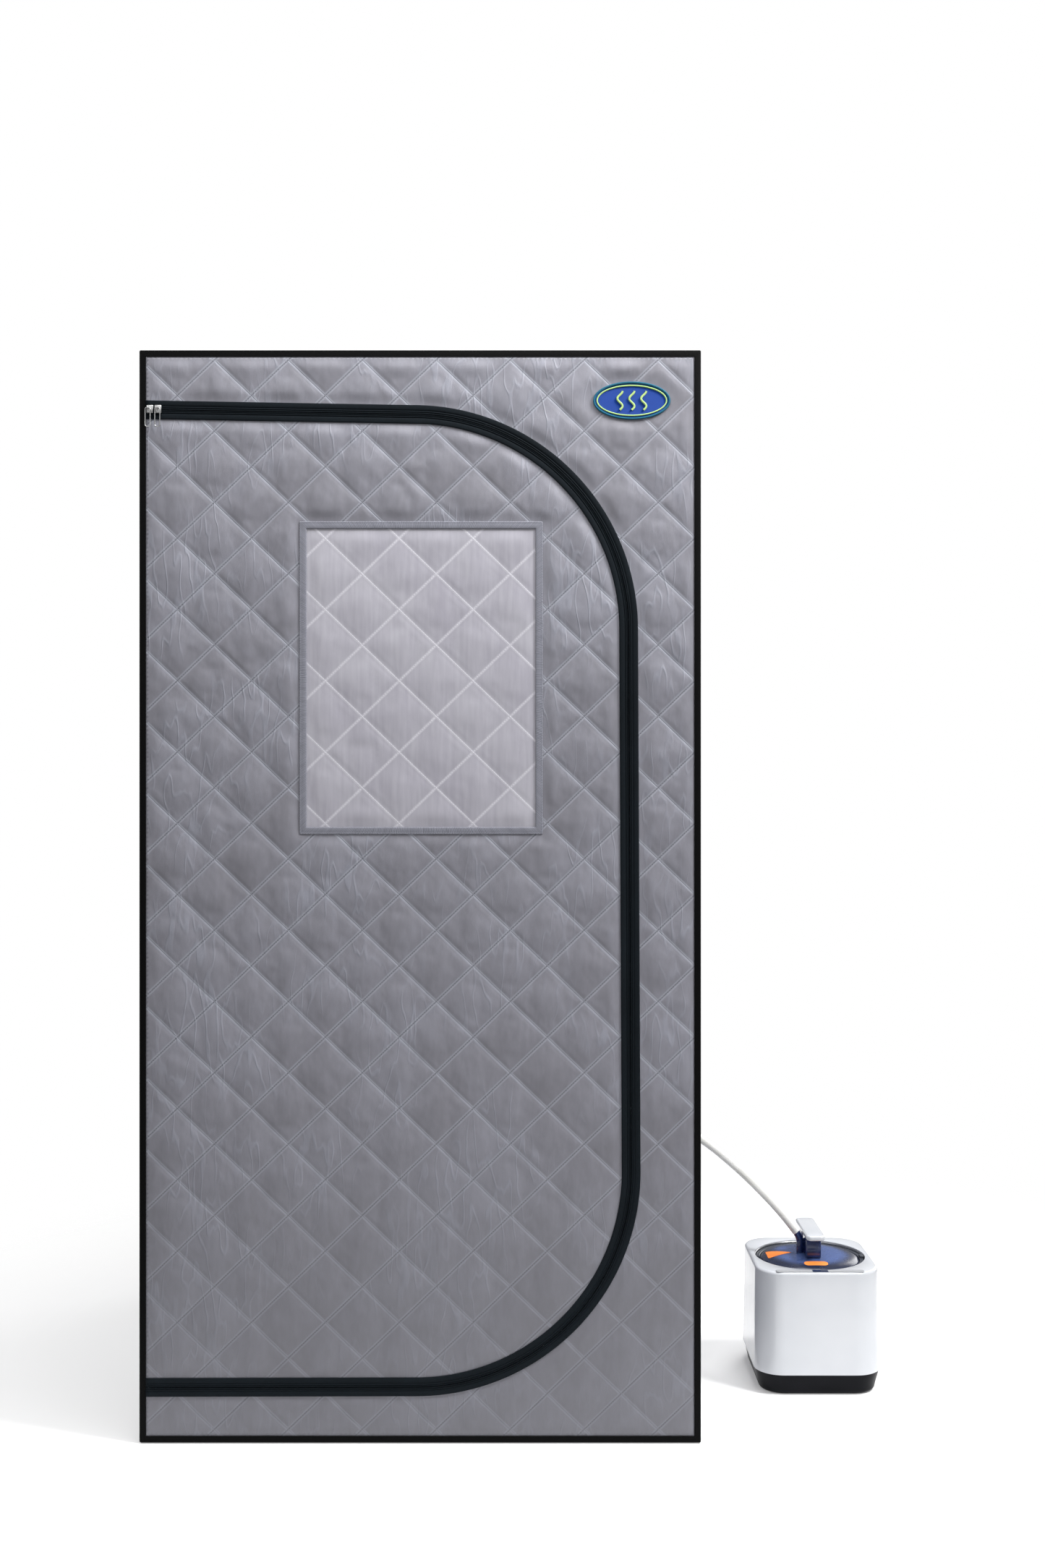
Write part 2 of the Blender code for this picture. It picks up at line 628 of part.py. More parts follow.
def tank():
    """The water tank: a deep cup with a ledge for the lid's seal and a rim up to the shell's mouth."""
    wall = 0.0020
    profile = [
        (0.0, 0.0460 + wall), (0.0735, 0.0460 + wall), (0.0780 - wall, 0.0510), (0.0780 - wall, 0.1925),
        (0.0790, 0.1955), (0.0965, 0.1955), (0.0965, 0.2095), (0.0990, 0.2095), (0.0990, 0.1935),
        (0.0780, 0.1900), (0.0780, 0.0500), (0.0740, 0.0460), (0.0, 0.0460),
    ]
    turned("water_tank", profile, STAINLESS, (STEAMER_X, STEAMER_Y, 0))


def steamer_inside():
    tank()
    turned("heater_plate", [(0.0, 0.0455), (0.0700, 0.0455), (0.0700, 0.0385), (0.0, 0.0385)], STAINLESS,
           (STEAMER_X, STEAMER_Y, 0))
    block("control_board", (STEAMER_X - 0.055, STEAMER_Y - 0.085, 0.0160),
          (STEAMER_X + 0.055, STEAMER_Y - 0.015, 0.0176),
          BOARD)


def lid():
    here = (STEAMER_X, STEAMER_Y, 0)
    wall = 0.0025
    outer = [(0.0, 0.2160), (0.0460, 0.2160), (0.0700, 0.2135), (0.0840, 0.2090), (0.0880, 0.2040),
             (0.0880, 0.1990)]
    inner = [(0.0880 - wall, 0.1990), (0.0880 - wall, 0.2035), (0.0825, 0.2068), (0.0695, 0.2109),
             (0.0458, 0.2160 - wall), (0.0, 0.2160 - wall)]
    turned("lid", outer + inner, BLUE, here)
    turned("lid_gasket", [(0.0875, 0.1987), (0.0875, 0.1962), (0.0820, 0.1962), (0.0820, 0.1987)], RUBBER,
           here,
           ring=True)
    ring = turned("lock_ring", [(0.0955, 0.2070), (0.0955, 0.1975), (0.0884, 0.1975), (0.0884, 0.2070)],
                  BLACK, here,
                  ring=True)
    for side, way in (("left", -1), ("right", 1)):
        near, far = sorted((way * 0.0888, way * 0.0952))
        tab = cutter_block(f"ring_tab_{side}", (STEAMER_X + near, STEAMER_Y - 0.0070, 0.2040),
                           (STEAMER_X + far, STEAMER_Y + 0.0070, 0.2112))
        combine(ring, tab, "UNION")


def handle():
    cap_low = CAP_TOP - CAP_SIZE[2]
    half_w, half_d = CAP_SIZE[0] / 2, CAP_SIZE[1] / 2
    form = block_form((-half_w, -half_d, cap_low), (half_w, half_d, CAP_TOP))
    uprights = [e for e in form.edges if abs(e.verts[0].co.z - e.verts[1].co.z) > CAP_SIZE[2] / 2]
    soften(form, uprights, 0.0090, 5)
    soften(form, rim_edges(form, CAP_TOP) + rim_edges(form, cap_low), 0.0022, 2)
    place("handle_cap", mesh_of(form, "handle_cap"), WHITE, (HANDLE_X, STEAMER_Y, 0))
    half_w, half_d = BLOCK_SIZE[0] / 2, BLOCK_SIZE[1] / 2
    piece = block("handle_block", (HANDLE_X - half_w, STEAMER_Y - half_d, BLOCK_LOW),
                  (HANDLE_X + half_w, STEAMER_Y + half_d, cap_low - GAP), BLUE, edge=0.0020, segments=2)
    notch = cutter_rod("outlet_notch", OUTLET_RADIUS + 0.0006, 0.08, (OUTLET_FOOT[0], OUTLET_FOOT[1], 0.235))
    combine(piece, notch, "DIFFERENCE")


def steam_outlet():
    """The pipe that rises from the lid beside the handle and leans over to meet the hose."""
    x, y, z = OUTLET_FOOT
    mouth = Vector(HOSE_ROUTE[0]) + outlet_way() * -GAP
    bend = [(x, y, z), (x, y, z + 0.0110), (x, y, z + 0.0190), (x - 0.0012, y, z + 0.0260), tuple(mouth)]
    points = smooth_route(bend, 12)
    points[-2] = mouth - outlet_way() * 0.0030
    pipe = settled(wire("steam_outlet", points, OUTLET_RADIUS, BLUE, caps=False))
    walled(pipe, 0.0015)


def outlet_way():
    return (Vector(HOSE_ROUTE[1]) - Vector(HOSE_ROUTE[0])).normalized()


def labels():
    """Plain orange stickers on the lid: a rounded triangle at the left and a pill at the front."""
    triangle = (arc((-0.0190, 0.0105), 0.0030, 60, 170, 5) + arc((-0.0190, -0.0105), 0.0030, 190, 300, 5)
                + arc((0.0170, 0.0), 0.0030, -60, 60, 5))
    pill = arc((0.0155, 0), 0.0050, -90, 90, 8) + arc((-0.0155, 0), 0.0050, 90, 270, 8)
    shapes = (
        ("lid_label_left", triangle, (STEAMER_X - 0.0590, STEAMER_Y - 0.0020, 0.2166),
         (0, math.radians(-6), 0)),
        ("lid_label_front", pill, (HANDLE_X, STEAMER_Y - 0.0610, 0.2160), (math.radians(6), 0, 0)),
    )
    for name, outline, where, tilt in shapes:
        place(name, outline_curve(name, [outline], 0.0003), ORANGE, where, tilt)


def control_strip():
    half_l, half_w = STRIP_SIZE[0] / 2, STRIP_SIZE[1] / 2
    low = SHELL_Z[1] + GAP
    block("control_strip", (STEAMER_X - half_l, STRIP_Y - half_w, low),
          (STEAMER_X + half_l, STRIP_Y + half_w, low + STRIP_SIZE[2]), STRIP, edge=0.0003, segments=1)


def steamer():
    base()
    shell()
    inlet()
    steamer_inside()
    lid()
    handle()
    steam_outlet()
    labels()
    control_strip()


# ---------------------------------------------------------------- hose

def hose():
    wire("steam_hose", smooth_route(HOSE_ROUTE, HOSE_STEPS), HOSE_RADIUS, HOSE)
    outer, inner = PANEL_FACE + GAP, PANEL_FACE - PANEL_THICK - 0.0010
    neck = PORT_BORE + 0.0018
    profile = [(PORT_BORE + 0.0040, outer + 0.0022), (PORT_FLANGE, outer + 0.0010), (PORT_FLANGE, outer),
               (neck, outer), (neck, inner), (PORT_BORE, inner), (PORT_BORE, outer + 0.0022)]
    turned("hose_port", [(r, z - outer) for r, z in profile], FITTING, (outer, PORT_Y, PORT_Z),
           (0, math.pi / 2, 0),
           28, ring=True)


def diffuser():
    """The perforated box on the mat that the hose ends in: open below, slotted on top, with a stub inlet."""
    half_l, half_w, tall = DIFFUSER_SIZE[0] / 2, DIFFUSER_SIZE[1] / 2, DIFFUSER_SIZE[2]
    low = FLOOR_THICK + GAP
    form = block_form((-half_l, -half_w, low), (half_l, half_w, low + tall))
    soften(form, [e for e in form.edges if min(v.co.z for v in e.verts) > low or
                  abs(e.verts[0].co.z - e.verts[1].co.z) > tall / 2], 0.0060, 3)
    open_face(form, low)
    box = place("steam_diffuser", mesh_of(form, "steam_diffuser"), WHITE, (DIFFUSER_X, PORT_Y, 0))
    walled(box, 0.0020)
    stub_end = HOSE_ROUTE[-1][0] - GAP
    stub_start = DIFFUSER_X + half_l - 0.0010
    stub = cutter_rod("diffuser_stub", DIFFUSER_STUB[0], stub_end - stub_start,
                      ((stub_start + stub_end) / 2, PORT_Y, DIFFUSER_STUB[1]), (0, math.pi / 2, 0), 16)
    combine(box, stub, "UNION")
    for index in range(5):
        x = DIFFUSER_X + (index - 2) * 0.0120
        slot = cutter_block(f"diffuser_slot_{index}", (x - 0.0020, PORT_Y - 0.0190, low + tall / 2),
                            (x + 0.0020, PORT_Y + 0.0190, low + tall + 0.01))
        combine(box, slot, "DIFFERENCE")


frame()
cover()
door()
steamer()
hose()
diffuser()
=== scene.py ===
# %% [markdown]
# A portable steam sauna is a tent of quilted cloth over a tube frame, with a zipped door, and a small
# steamer on the floor beside it. The imported CAD model is the fixed frame: it gives every
# size and every joint, and each cell below dresses one of its pieces. Nothing here moves a CAD part.

# %% Load the frame
import math

import bmesh
import bpy
import numpy as np
from mathutils import Matrix, Vector, noise


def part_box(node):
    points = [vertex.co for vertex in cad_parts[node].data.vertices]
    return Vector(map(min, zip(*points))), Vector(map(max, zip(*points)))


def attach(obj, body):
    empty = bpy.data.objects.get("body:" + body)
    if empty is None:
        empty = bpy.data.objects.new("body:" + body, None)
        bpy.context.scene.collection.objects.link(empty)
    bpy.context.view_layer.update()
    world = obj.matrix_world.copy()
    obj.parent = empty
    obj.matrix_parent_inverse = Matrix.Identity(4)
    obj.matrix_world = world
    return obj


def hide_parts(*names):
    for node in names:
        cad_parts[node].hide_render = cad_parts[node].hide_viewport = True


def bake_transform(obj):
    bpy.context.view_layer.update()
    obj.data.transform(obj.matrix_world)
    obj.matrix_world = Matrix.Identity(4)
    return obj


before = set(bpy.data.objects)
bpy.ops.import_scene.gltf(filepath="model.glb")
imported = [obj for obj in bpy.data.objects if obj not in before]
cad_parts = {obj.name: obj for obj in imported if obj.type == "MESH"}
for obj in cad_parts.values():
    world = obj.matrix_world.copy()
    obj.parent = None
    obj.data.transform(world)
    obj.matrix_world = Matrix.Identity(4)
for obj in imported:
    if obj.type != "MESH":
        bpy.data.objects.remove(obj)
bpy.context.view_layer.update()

LOW, HIGH = 0, 1
X, Y, Z = 0, 1, 2
MM = 0.001

# %% [markdown]
# The camera stands in front of the tent and looks straight at it, so the front stays a true rectangle.
# The lens follows from how much of the front plane the view is tall enough to hold.

# %% Camera
VIEW_DISTANCE = 2.70     # camera to the tent's front
VIEW_HEIGHT = 2.511      # what the view's long side covers at the tent's front
VIEW_CENTRE = (0.164, 1.056)
FRONT_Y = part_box("edge_binding")[LOW][Y]

camera_data = bpy.data.cameras.new("camera")
camera_data.sensor_width = 36.0
camera_data.lens = camera_data.sensor_width * VIEW_DISTANCE / VIEW_HEIGHT
camera = bpy.data.objects.new("camera", camera_data)
camera.location = (VIEW_CENTRE[0], FRONT_Y - VIEW_DISTANCE, VIEW_CENTRE[1])
camera.rotation_euler = (math.pi / 2, 0, 0)
bpy.context.scene.collection.objects.link(camera)
bpy.context.scene.camera = camera
print("camera:", round(camera_data.lens, 1), "mm lens")

# %% [markdown]
# Every piece goes through the same few steps: a bmesh becomes a mesh, the mesh becomes an object, and the
# object rides on a CAD body. These helpers keep those steps in one place.

# %% Helpers for meshes
def mesh_from(form, name):
    """A bmesh made a mesh with its faces turned outwards."""
    bmesh.ops.recalc_face_normals(form, faces=form.faces)
    return loose_mesh(form, name)


def loose_mesh(form, name):
    mesh = bpy.data.meshes.new(name)
    form.to_mesh(mesh)
    form.free()
    return mesh


def piece_of(name, mesh, material, smooth_angle=40):
    """An object at the origin. Faces that meet at less than the angle are shaded as one smooth surface."""
    item = bpy.data.objects.new(name, mesh)
    bpy.context.scene.collection.objects.link(item)
    mesh.materials.append(material)
    mesh.shade_smooth()
    if smooth_angle < 180:
        mesh.set_sharp_from_angle(angle=math.radians(smooth_angle))
    return item


def applied(item):
    """The object with its modifiers, or its curve, made plain mesh in the row frame."""
    bpy.context.view_layer.update()
    evaluated = item.evaluated_get(bpy.context.evaluated_depsgraph_get())
    mesh = bpy.data.meshes.new_from_object(evaluated)
    mesh.transform(item.matrix_world)
    name = item.name
    item.name = name + "_old"
    made = bpy.data.objects.new(name, mesh)
    bpy.context.scene.collection.objects.link(made)
    bpy.data.objects.remove(item, do_unlink=True)
    return made


def thickened(item, thick):
    """Gives a sheet its thickness behind its face. The modifier is returned, so that more can be set on it."""
    solid = item.modifiers.new("thickness", "SOLIDIFY")
    solid.thickness = thick
    solid.offset = -1
    return solid


def dress(item, body, slot, *nodes):
    """Rides a piece on its body and hides the CAD nodes that it stands for. The slot is not used."""
    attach(item, body)
    if nodes:
        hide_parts(*nodes)
    return item


def spun(name, profile, material, centre, steps=96, smooth_angle=35, closed=True):
    """A turned piece about a vertical axis, from (radius, height) points."""
    form = bmesh.new()
    points = [form.verts.new((radius, 0, height)) for radius, height in profile]
    pairs = list(zip(points, points[1:]))
    if closed:
        pairs.append((points[-1], points[0]))
    edges = [form.edges.new(pair) for pair in pairs]
    bmesh.ops.spin(form, geom=points + edges, cent=(0, 0, 0), axis=(0, 0, 1), angle=math.tau,
                   steps=steps, use_merge=True)
    bmesh.ops.remove_doubles(form, verts=form.verts, dist=0.00002)
    bmesh.ops.translate(form, vec=centre, verts=form.verts)
    return piece_of(name, mesh_from(form, name), material, smooth_angle)


def rounded_box(low, high, edge, segments=3):
    """A bmesh box with all its edges rounded."""
    form = bmesh.new()
    bmesh.ops.create_cube(form, size=1)
    bmesh.ops.scale(form, vec=[b - a for a, b in zip(low, high)], verts=form.verts)
    bmesh.ops.translate(form, vec=[(a + b) / 2 for a, b in zip(low, high)], verts=form.verts)
    round_edges(form, form.edges[:], edge, segments)
    return form


def round_edges(form, edges, width, segments):
    bmesh.ops.bevel(form, geom=edges, offset=width, offset_type="OFFSET", segments=segments, profile=0.5,
                    affect="EDGES", clamp_overlap=True, material=-1)


def tube_along(name, points, radius, material, sides=16, cyclic=False):
    """A round tube along a list of points, as a mesh."""
    curve = bpy.data.curves.new(name, "CURVE")
    curve.dimensions = "3D"
    curve.bevel_depth = radius
    curve.bevel_resolution = max(0, sides // 4 - 1)
    curve.use_fill_caps = not cyclic
    line = curve.splines.new("POLY")
    line.points.add(len(points) - 1)
    for slot, point in zip(line.points, points):
        slot.co = (*point, 1.0)
    line.use_cyclic_u = cyclic
    item = bpy.data.objects.new(name, curve)
    bpy.context.scene.collection.objects.link(item)
    item = applied(item)
    form = bmesh.new()
    form.from_mesh(item.data)
    bmesh.ops.remove_doubles(form, verts=form.verts, dist=0.00002)
    bpy.data.objects.remove(item, do_unlink=True)
    return piece_of(name, mesh_from(form, name), material, 50)


def flowing(points, count):
    """Evenly counted points on a smooth curve through the given ones."""
    knots = [Vector(p) for p in points]
    knots = [2 * knots[0] - knots[1]] + knots + [2 * knots[-1] - knots[-2]]
    spans = len(points) - 1
    result = []
    for i in range(count + 1):
        along = spans * i / count
        span = min(int(along), spans - 1)
        t = along - span
        a, b, c, d = knots[span:span + 4]
        result.append(0.5 * (2 * b + (c - a) * t + (2 * a - 5 * b + 4 * c - d) * t ** 2
                             + (3 * b - a - 3 * c + d) * t ** 3))
    return result


print("helpers ready")

# %% [markdown]
# Shader nodes are tedious to wire by hand. This small class wraps one socket, so that sums, products and
# powers of surface values can be written as plain expressions. Everything else goes through `node`.

# %% A socket that does maths
class Signal:
    """One output socket of a material's node tree."""

    def __init__(self, finish, socket):
        self.finish, self.socket = finish, socket

    def maths(self, operation, *others):
        values = dict(enumerate((self, *others)))
        return self.finish.node("ShaderNodeMath", {"operation": operation}, values)

    def __add__(self, other):
        return self.maths("ADD", other)

    def __mul__(self, other):
        return self.maths("MULTIPLY", other)

    def __sub__(self, other):
        return self.maths("SUBTRACT", other)

    def __rsub__(self, other):
        return self.finish.number(other).maths("SUBTRACT", self)

    def __truediv__(self, other):
        return self.maths("DIVIDE", other)

    def __pow__(self, other):
        return self.maths("POWER", other)

    __radd__, __rmul__ = __add__, __mul__

    def part(self, index):
        """X, Y or Z of a vector."""
        split = self.finish.node("ShaderNodeSeparateXYZ", {}, {0: self})
        return Signal(self.finish, split.socket.node.outputs[index])

    def step(self, start, end):
        """0 below start, 1 above end, and smooth between. It falls if start is above end."""
        low, high = min(start, end), max(start, end)
        values = {0: self, 1: low, 2: high, 3: 0.0, 4: 1.0}
        rising = self.finish.node("ShaderNodeMapRange", {"interpolation_type": "SMOOTHSTEP"}, values)
        return rising if start < end else 1 - rising


class Finish:
    """A material: one Principled shader, and the nodes that feed it."""

    def __init__(self, name, **constants):
        self.material = bpy.data.materials.new(name)
        self.material.use_nodes = True
        self.tree = self.material.node_tree
        self.shader = self.tree.nodes["Principled BSDF"]
        for socket, value in constants.items():
            self.shader.inputs[socket.replace("_", " ")].default_value = value

    def node(self, kind, settings, values, output=0):
        """Any node: its settings are set first, then its sockets get values or links."""
        made = self.tree.nodes.new(kind)
        for key, value in settings.items():
            setattr(made, key, value)
        for key, value in values.items():
            if isinstance(value, Signal):
                self.tree.links.new(value.socket, made.inputs[key])
            else:
                made.inputs[key].default_value = value
        return Signal(self, made.outputs[output])

    def number(self, value):
        return self.node("ShaderNodeMath", {"operation": "ADD"}, {0: value, 1: 0.0})

    def place(self):
        """The point's place on the object, in metres."""
        return self.node("ShaderNodeTexCoord", {}, {}, "Object")

    def cloth_place(self):
        """The point's place on the cloth before it was sewn, in metres."""
        return self.node("ShaderNodeUVMap", {"uv_map": CLOTH_UV}, {})

    def stretched(self, vector, scale, turn=(0, 0, 0)):
        return self.node("ShaderNodeMapping", {}, {"Vector": vector, "Scale": scale, "Rotation": turn})

    def grain(self, vector, scale, detail=2.0, rough=0.5):
        return self.node("ShaderNodeTexNoise", {}, {"Vector": vector, "Scale": scale, "Detail": detail,
                                                    "Roughness": rough})

    def colour(self, factor, low, high):
        """A mix of two colours."""
        values = {0: factor}
        for slot, value in ((6, low), (7, high)):
            values[slot] = value if isinstance(value, Signal) else (*value, 1.0)
        return self.node("ShaderNodeMix", {"data_type": "RGBA"}, values, 2)

    def relief(self, height, distance, strength=1.0):
        """A bump whose height is in units of `distance` metres."""
        values = {"Height": height, "Distance": distance, "Strength": strength}
        return self.node("ShaderNodeBump", {}, values, "Normal")

    def feed(self, **signals):
        for socket, signal in signals.items():
            self.tree.links.new(signal.socket, self.shader.inputs[socket.replace("_", " ")])
        return self.material


CLOTH_UV = "cloth"
print("shader helpers ready")

# %% [markdown]
# The hose is a fixed length of soft tube. It leaves the steam outlet at a slant, arches over to the port in
# the tent's wall, hangs down inside and lies along the mat to the diffuser. Its route is the CAD's own.

# %% The hose's finish
def hose_finish():
    paint = Finish("hose_plastic", Coat_Weight=0.15, Coat_Roughness=0.25)
    here = paint.place()
    cloudy = paint.grain(here, 22.0, 3.0)
    fine = paint.grain(here, 900.0, 2.0)
    colour = paint.colour(cloudy.step(0.3, 0.75), (0.74, 0.74, 0.70), (0.83, 0.83, 0.81))
    shine = 0.28 + 0.14 * paint.grain(here, 60.0)
    return paint.feed(Base_Color=colour, Roughness=shine, Normal=paint.relief(cloudy + 0.15 * fine, 0.4 * MM, 0.5))


# %% [markdown]
# The route is a short list of points from the outlet to the diffuser. A smooth curve through them gives the
# hose's true length, and the tube is drawn along it at the hose's diameter.

# %% The hose
HOSE_DIAMETER = 0.014
HOSE_ROUTE = (
    (0.6550, -0.1250, 0.2527), (0.6400, -0.1250, 0.2722), (0.6181, -0.1250, 0.2981),
    (0.5937, -0.1250, 0.3241), (0.5694, -0.1250, 0.3485), (0.5450, -0.1250, 0.3710),
    (0.5155, -0.1250, 0.3962), (0.4850, -0.1250, 0.4190), (0.4500, -0.1250, 0.4415),
    (0.4150, -0.1250, 0.4590), (0.3800, -0.1250, 0.4690), (0.3450, -0.1250, 0.4690),
    (0.3120, -0.1250, 0.4570), (0.2860, -0.1250, 0.4340), (0.2690, -0.1250, 0.4020),
    (0.2610, -0.1250, 0.3640), (0.2580, -0.1250, 0.3200), (0.2570, -0.1250, 0.2700),
    (0.2560, -0.1250, 0.2200), (0.2540, -0.1250, 0.1720), (0.2480, -0.1250, 0.1280),
    (0.2350, -0.1250, 0.0900), (0.2130, -0.1250, 0.0580), (0.1830, -0.1250, 0.0350),
    (0.1480, -0.1250, 0.0225), (0.1150, -0.1250, 0.0185), (0.0853, -0.1250, 0.0180),
)
hose_line = flowing(HOSE_ROUTE, 160)
hose_length = sum((b - a).length for a, b in zip(hose_line, hose_line[1:]))
hose = tube_along("hose", hose_line, HOSE_DIAMETER / 2, hose_finish(), sides=24)
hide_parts("steam_hose")
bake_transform(hose)
print("hose:", round(hose_length, 3), "m")

# %% [markdown]
# Floor and light. The floor is one pale sheet that melts into a white room. The main light is high on the
# right and rakes across the front, so that each cushion is bright just below a falling seam and dark above
# it. A small one over the steamer keeps its top bright. The room itself gives little light, and more soft
# lights stand behind, because the sauna is looked at from every side.

# %% Floor and light
def stage_floor():
    paint = Finish("studio_floor", Roughness=0.85, Specular_IOR_Level=0.2, Emission_Strength=FLOOR_GLOW)
    paint.shader.inputs["Emission Color"].default_value = (1.0, 1.0, 1.0, 1.0)
    here = paint.place()
    shade = paint.grain(here, 1.3, 2.0)
    colour = paint.colour(shade, (0.84, 0.84, 0.84), (0.90, 0.90, 0.90))
    radius = ((here.part(X) - FLOOR_CENTRE) ** 2.0 + here.part(Y) ** 2.0) ** 0.5
    form = bmesh.new()
    bmesh.ops.create_circle(form, cap_ends=True, segments=96, radius=FLOOR_FADE[1])
    bmesh.ops.translate(form, vec=(FLOOR_CENTRE, 0, -0.0005), verts=form.verts)
    finish = paint.feed(Base_Color=colour, Alpha=radius.step(FLOOR_FADE[1], FLOOR_FADE[0]))
    piece_of("studio_floor", loose_mesh(form, "studio_floor"), finish)


def soft_light(name, place, aim, size, power):
    data = bpy.data.lights.new(name, "AREA")
    data.shape = "RECTANGLE"
    data.size, data.size_y = size
    data.energy = power
    light = bpy.data.objects.new(name, data)
    light.location = place
    light.rotation_euler = (Vector(aim) - Vector(place)).to_track_quat("-Z", "Y").to_euler()
    bpy.context.scene.collection.objects.link(light)


def studio():
    stage_floor()
    world = bpy.data.worlds.new("studio")
    world.use_nodes = True
    nodes, links = world.node_tree.nodes, world.node_tree.links
    glow = nodes["Background"]
    glow.inputs["Color"].default_value = (1.0, 1.0, 1.0, 1.0)
    glow.inputs["Strength"].default_value = ROOM_LIGHT
    white = nodes.new("ShaderNodeBackground")
    white.inputs["Color"].default_value = (1.0, 1.0, 1.0, 1.0)
    rays = nodes.new("ShaderNodeLightPath")
    mix = nodes.new("ShaderNodeMixShader")
    links.new(rays.outputs["Is Camera Ray"], mix.inputs[0])
    links.new(glow.outputs[0], mix.inputs[1])
    links.new(white.outputs[0], mix.inputs[2])
    links.new(mix.outputs[0], nodes["World Output"].inputs["Surface"])
    bpy.context.scene.world = world
    bpy.context.scene.view_settings.view_transform = "Standard"
    for name, place, aim, size, power in SOFTBOXES:
        soft_light(name, place, aim, size, power)


ROOM_LIGHT = 0.24
FLOOR_GLOW = 0.20
FLOOR_FADE = (0.8, 1.7)      # the floor melts into the white room between these distances
FLOOR_CENTRE = 0.2
ON_TENT, ON_STEAMER = (0.1, 0.0, 0.8), (0.66, -0.12, 0.20)
SOFTBOXES = (                # name, place, what it is aimed at, size and power
    ("key_right_high", (2.4, -1.3, 3.5), ON_TENT, (0.7, 0.7), 145),
    ("front_fill", (-1.2, -3.9, 3.0), ON_TENT, (2.0, 2.0), 26),
    ("overhead", (0.2, -1.1, 3.1), ON_TENT, (1.8, 1.0), 34),
    ("rear_left", (-2.8, 2.6, 3.0), ON_TENT, (1.4, 1.4), 110),
    ("rear_right", (3.0, 3.2, 1.6), ON_TENT, (2.0, 2.0), 45),
    ("over_steamer", (0.74, 0.10, 1.60), ON_STEAMER, (0.5, 0.5), 8),
)
studio()
print("studio:", len(SOFTBOXES), "soft lights")

# %% [markdown]
# The tent's walls are two layers of satin cloth with wadding between them, sewn along a lattice of crossing
# diagonals. Each diamond puffs up a little and wrinkles on its own. A painted pattern would look flat, so a
# real cloth simulation inflates one large sheet that is pinned along the seams, and every wall reads its
# cushions from that sheet.

# %% Inflate one sheet of cushions
PITCH = (0.1185, 0.1142)     # one diamond's width and height
STEPS = 12                   # cloth cells in one pitch
SHEET = (8 * STEPS, 198)     # cells across and up
CLOTH_FRAMES = 25
DIAMONDS = 60                # more diamonds than the sheet has either way


def sheet_form():
    form = bmesh.new()
    bmesh.ops.create_grid(form, x_segments=SHEET[0], y_segments=SHEET[1], size=0.5)
    size = [cells * pitch / STEPS for cells, pitch in zip(SHEET, PITCH)]
    bmesh.ops.scale(form, vec=(*size, 1), verts=form.verts)
    bmesh.ops.translate(form, vec=(size[0] / 2, size[1] / 2, 0), verts=form.verts)
    return form


def cells_of(places):
    return np.rint(places[:, :2] / np.array(PITCH) * STEPS).astype(int)


def inflate(item, pinned, slack):
    """Blows the sheet up between its seams. Slack is how loosely each diamond was sewn, 0 to 1."""
    seams = item.vertex_groups.new(name="seams")
    seams.add([int(i) for i in np.nonzero(pinned)[0]], 1.0, "REPLACE")
    loose = item.vertex_groups.new(name="slack")
    for i, value in enumerate(slack):
        loose.add([i], float(value), "REPLACE")
    cloth = item.modifiers.new("cloth", "CLOTH")
    settings = cloth.settings
    settings.quality = 4
    settings.mass = 0.15
    settings.tension_stiffness = settings.compression_stiffness = 25
    settings.shear_stiffness = 15
    settings.bending_stiffness = 0.6
    settings.vertex_group_mass = seams.name
    settings.pin_stiffness = 1
    settings.use_pressure = True
    settings.uniform_pressure_force = 2.5
    settings.vertex_group_shrink = loose.name
    settings.shrink_min, settings.shrink_max = -0.004, -0.012
    settings.effector_weights.gravity = 0
    settings.air_damping = 3
    cloth.collision_settings.use_collision = False
    cloth.point_cache.frame_start, cloth.point_cache.frame_end = 1, CLOTH_FRAMES
    for step in range(1, CLOTH_FRAMES + 1):
        bpy.context.scene.frame_set(step)
    evaluated = item.evaluated_get(bpy.context.evaluated_depsgraph_get())
    return np.array([v.co.z for v in evaluated.data.vertices])


def cushion_heights():
    """Each cell corner of the sheet, and how high it stands."""
    item = piece_of("cushions", loose_mesh(sheet_form(), "cushions"), bpy.data.materials.new("cushions"), 180)
    places = np.array([v.co for v in item.data.vertices])
    cells = cells_of(places)
    rising, falling = cells.sum(axis=1), cells[:, 0] - cells[:, 1]
    border = (cells == 0).any(axis=1) | (cells == np.array(SHEET)).any(axis=1)
    pinned = (rising % STEPS == 0) | (falling % STEPS == 0) | border
    draws = np.random.default_rng(7).random((DIAMONDS, DIAMONDS))
    slack = draws[(rising // STEPS) % DIAMONDS, (falling // STEPS) % DIAMONDS]
    for vertex, held in zip(item.data.vertices, pinned):
        ripple = 1.5 + 1.2 * noise.noise(Vector((vertex.co.x * 40, vertex.co.y * 14, 3.0)))
        vertex.co.z = 0 if held else ripple * MM
    heights = inflate(item, pinned, slack)
    bpy.data.objects.remove(item, do_unlink=True)
    bpy.context.scene.frame_set(1)
    return cells, heights


cells, heights = cushion_heights()
print("cushions:", len(heights), "points, up to", round(heights.max() / MM, 1), "mm high")

# %% [markdown]
# The seams run along the diagonals, so the heights are kept in a table whose two axes are those diagonals.
# A seam is then a straight row of the table, and a value read between two rows still has a crisp fold.

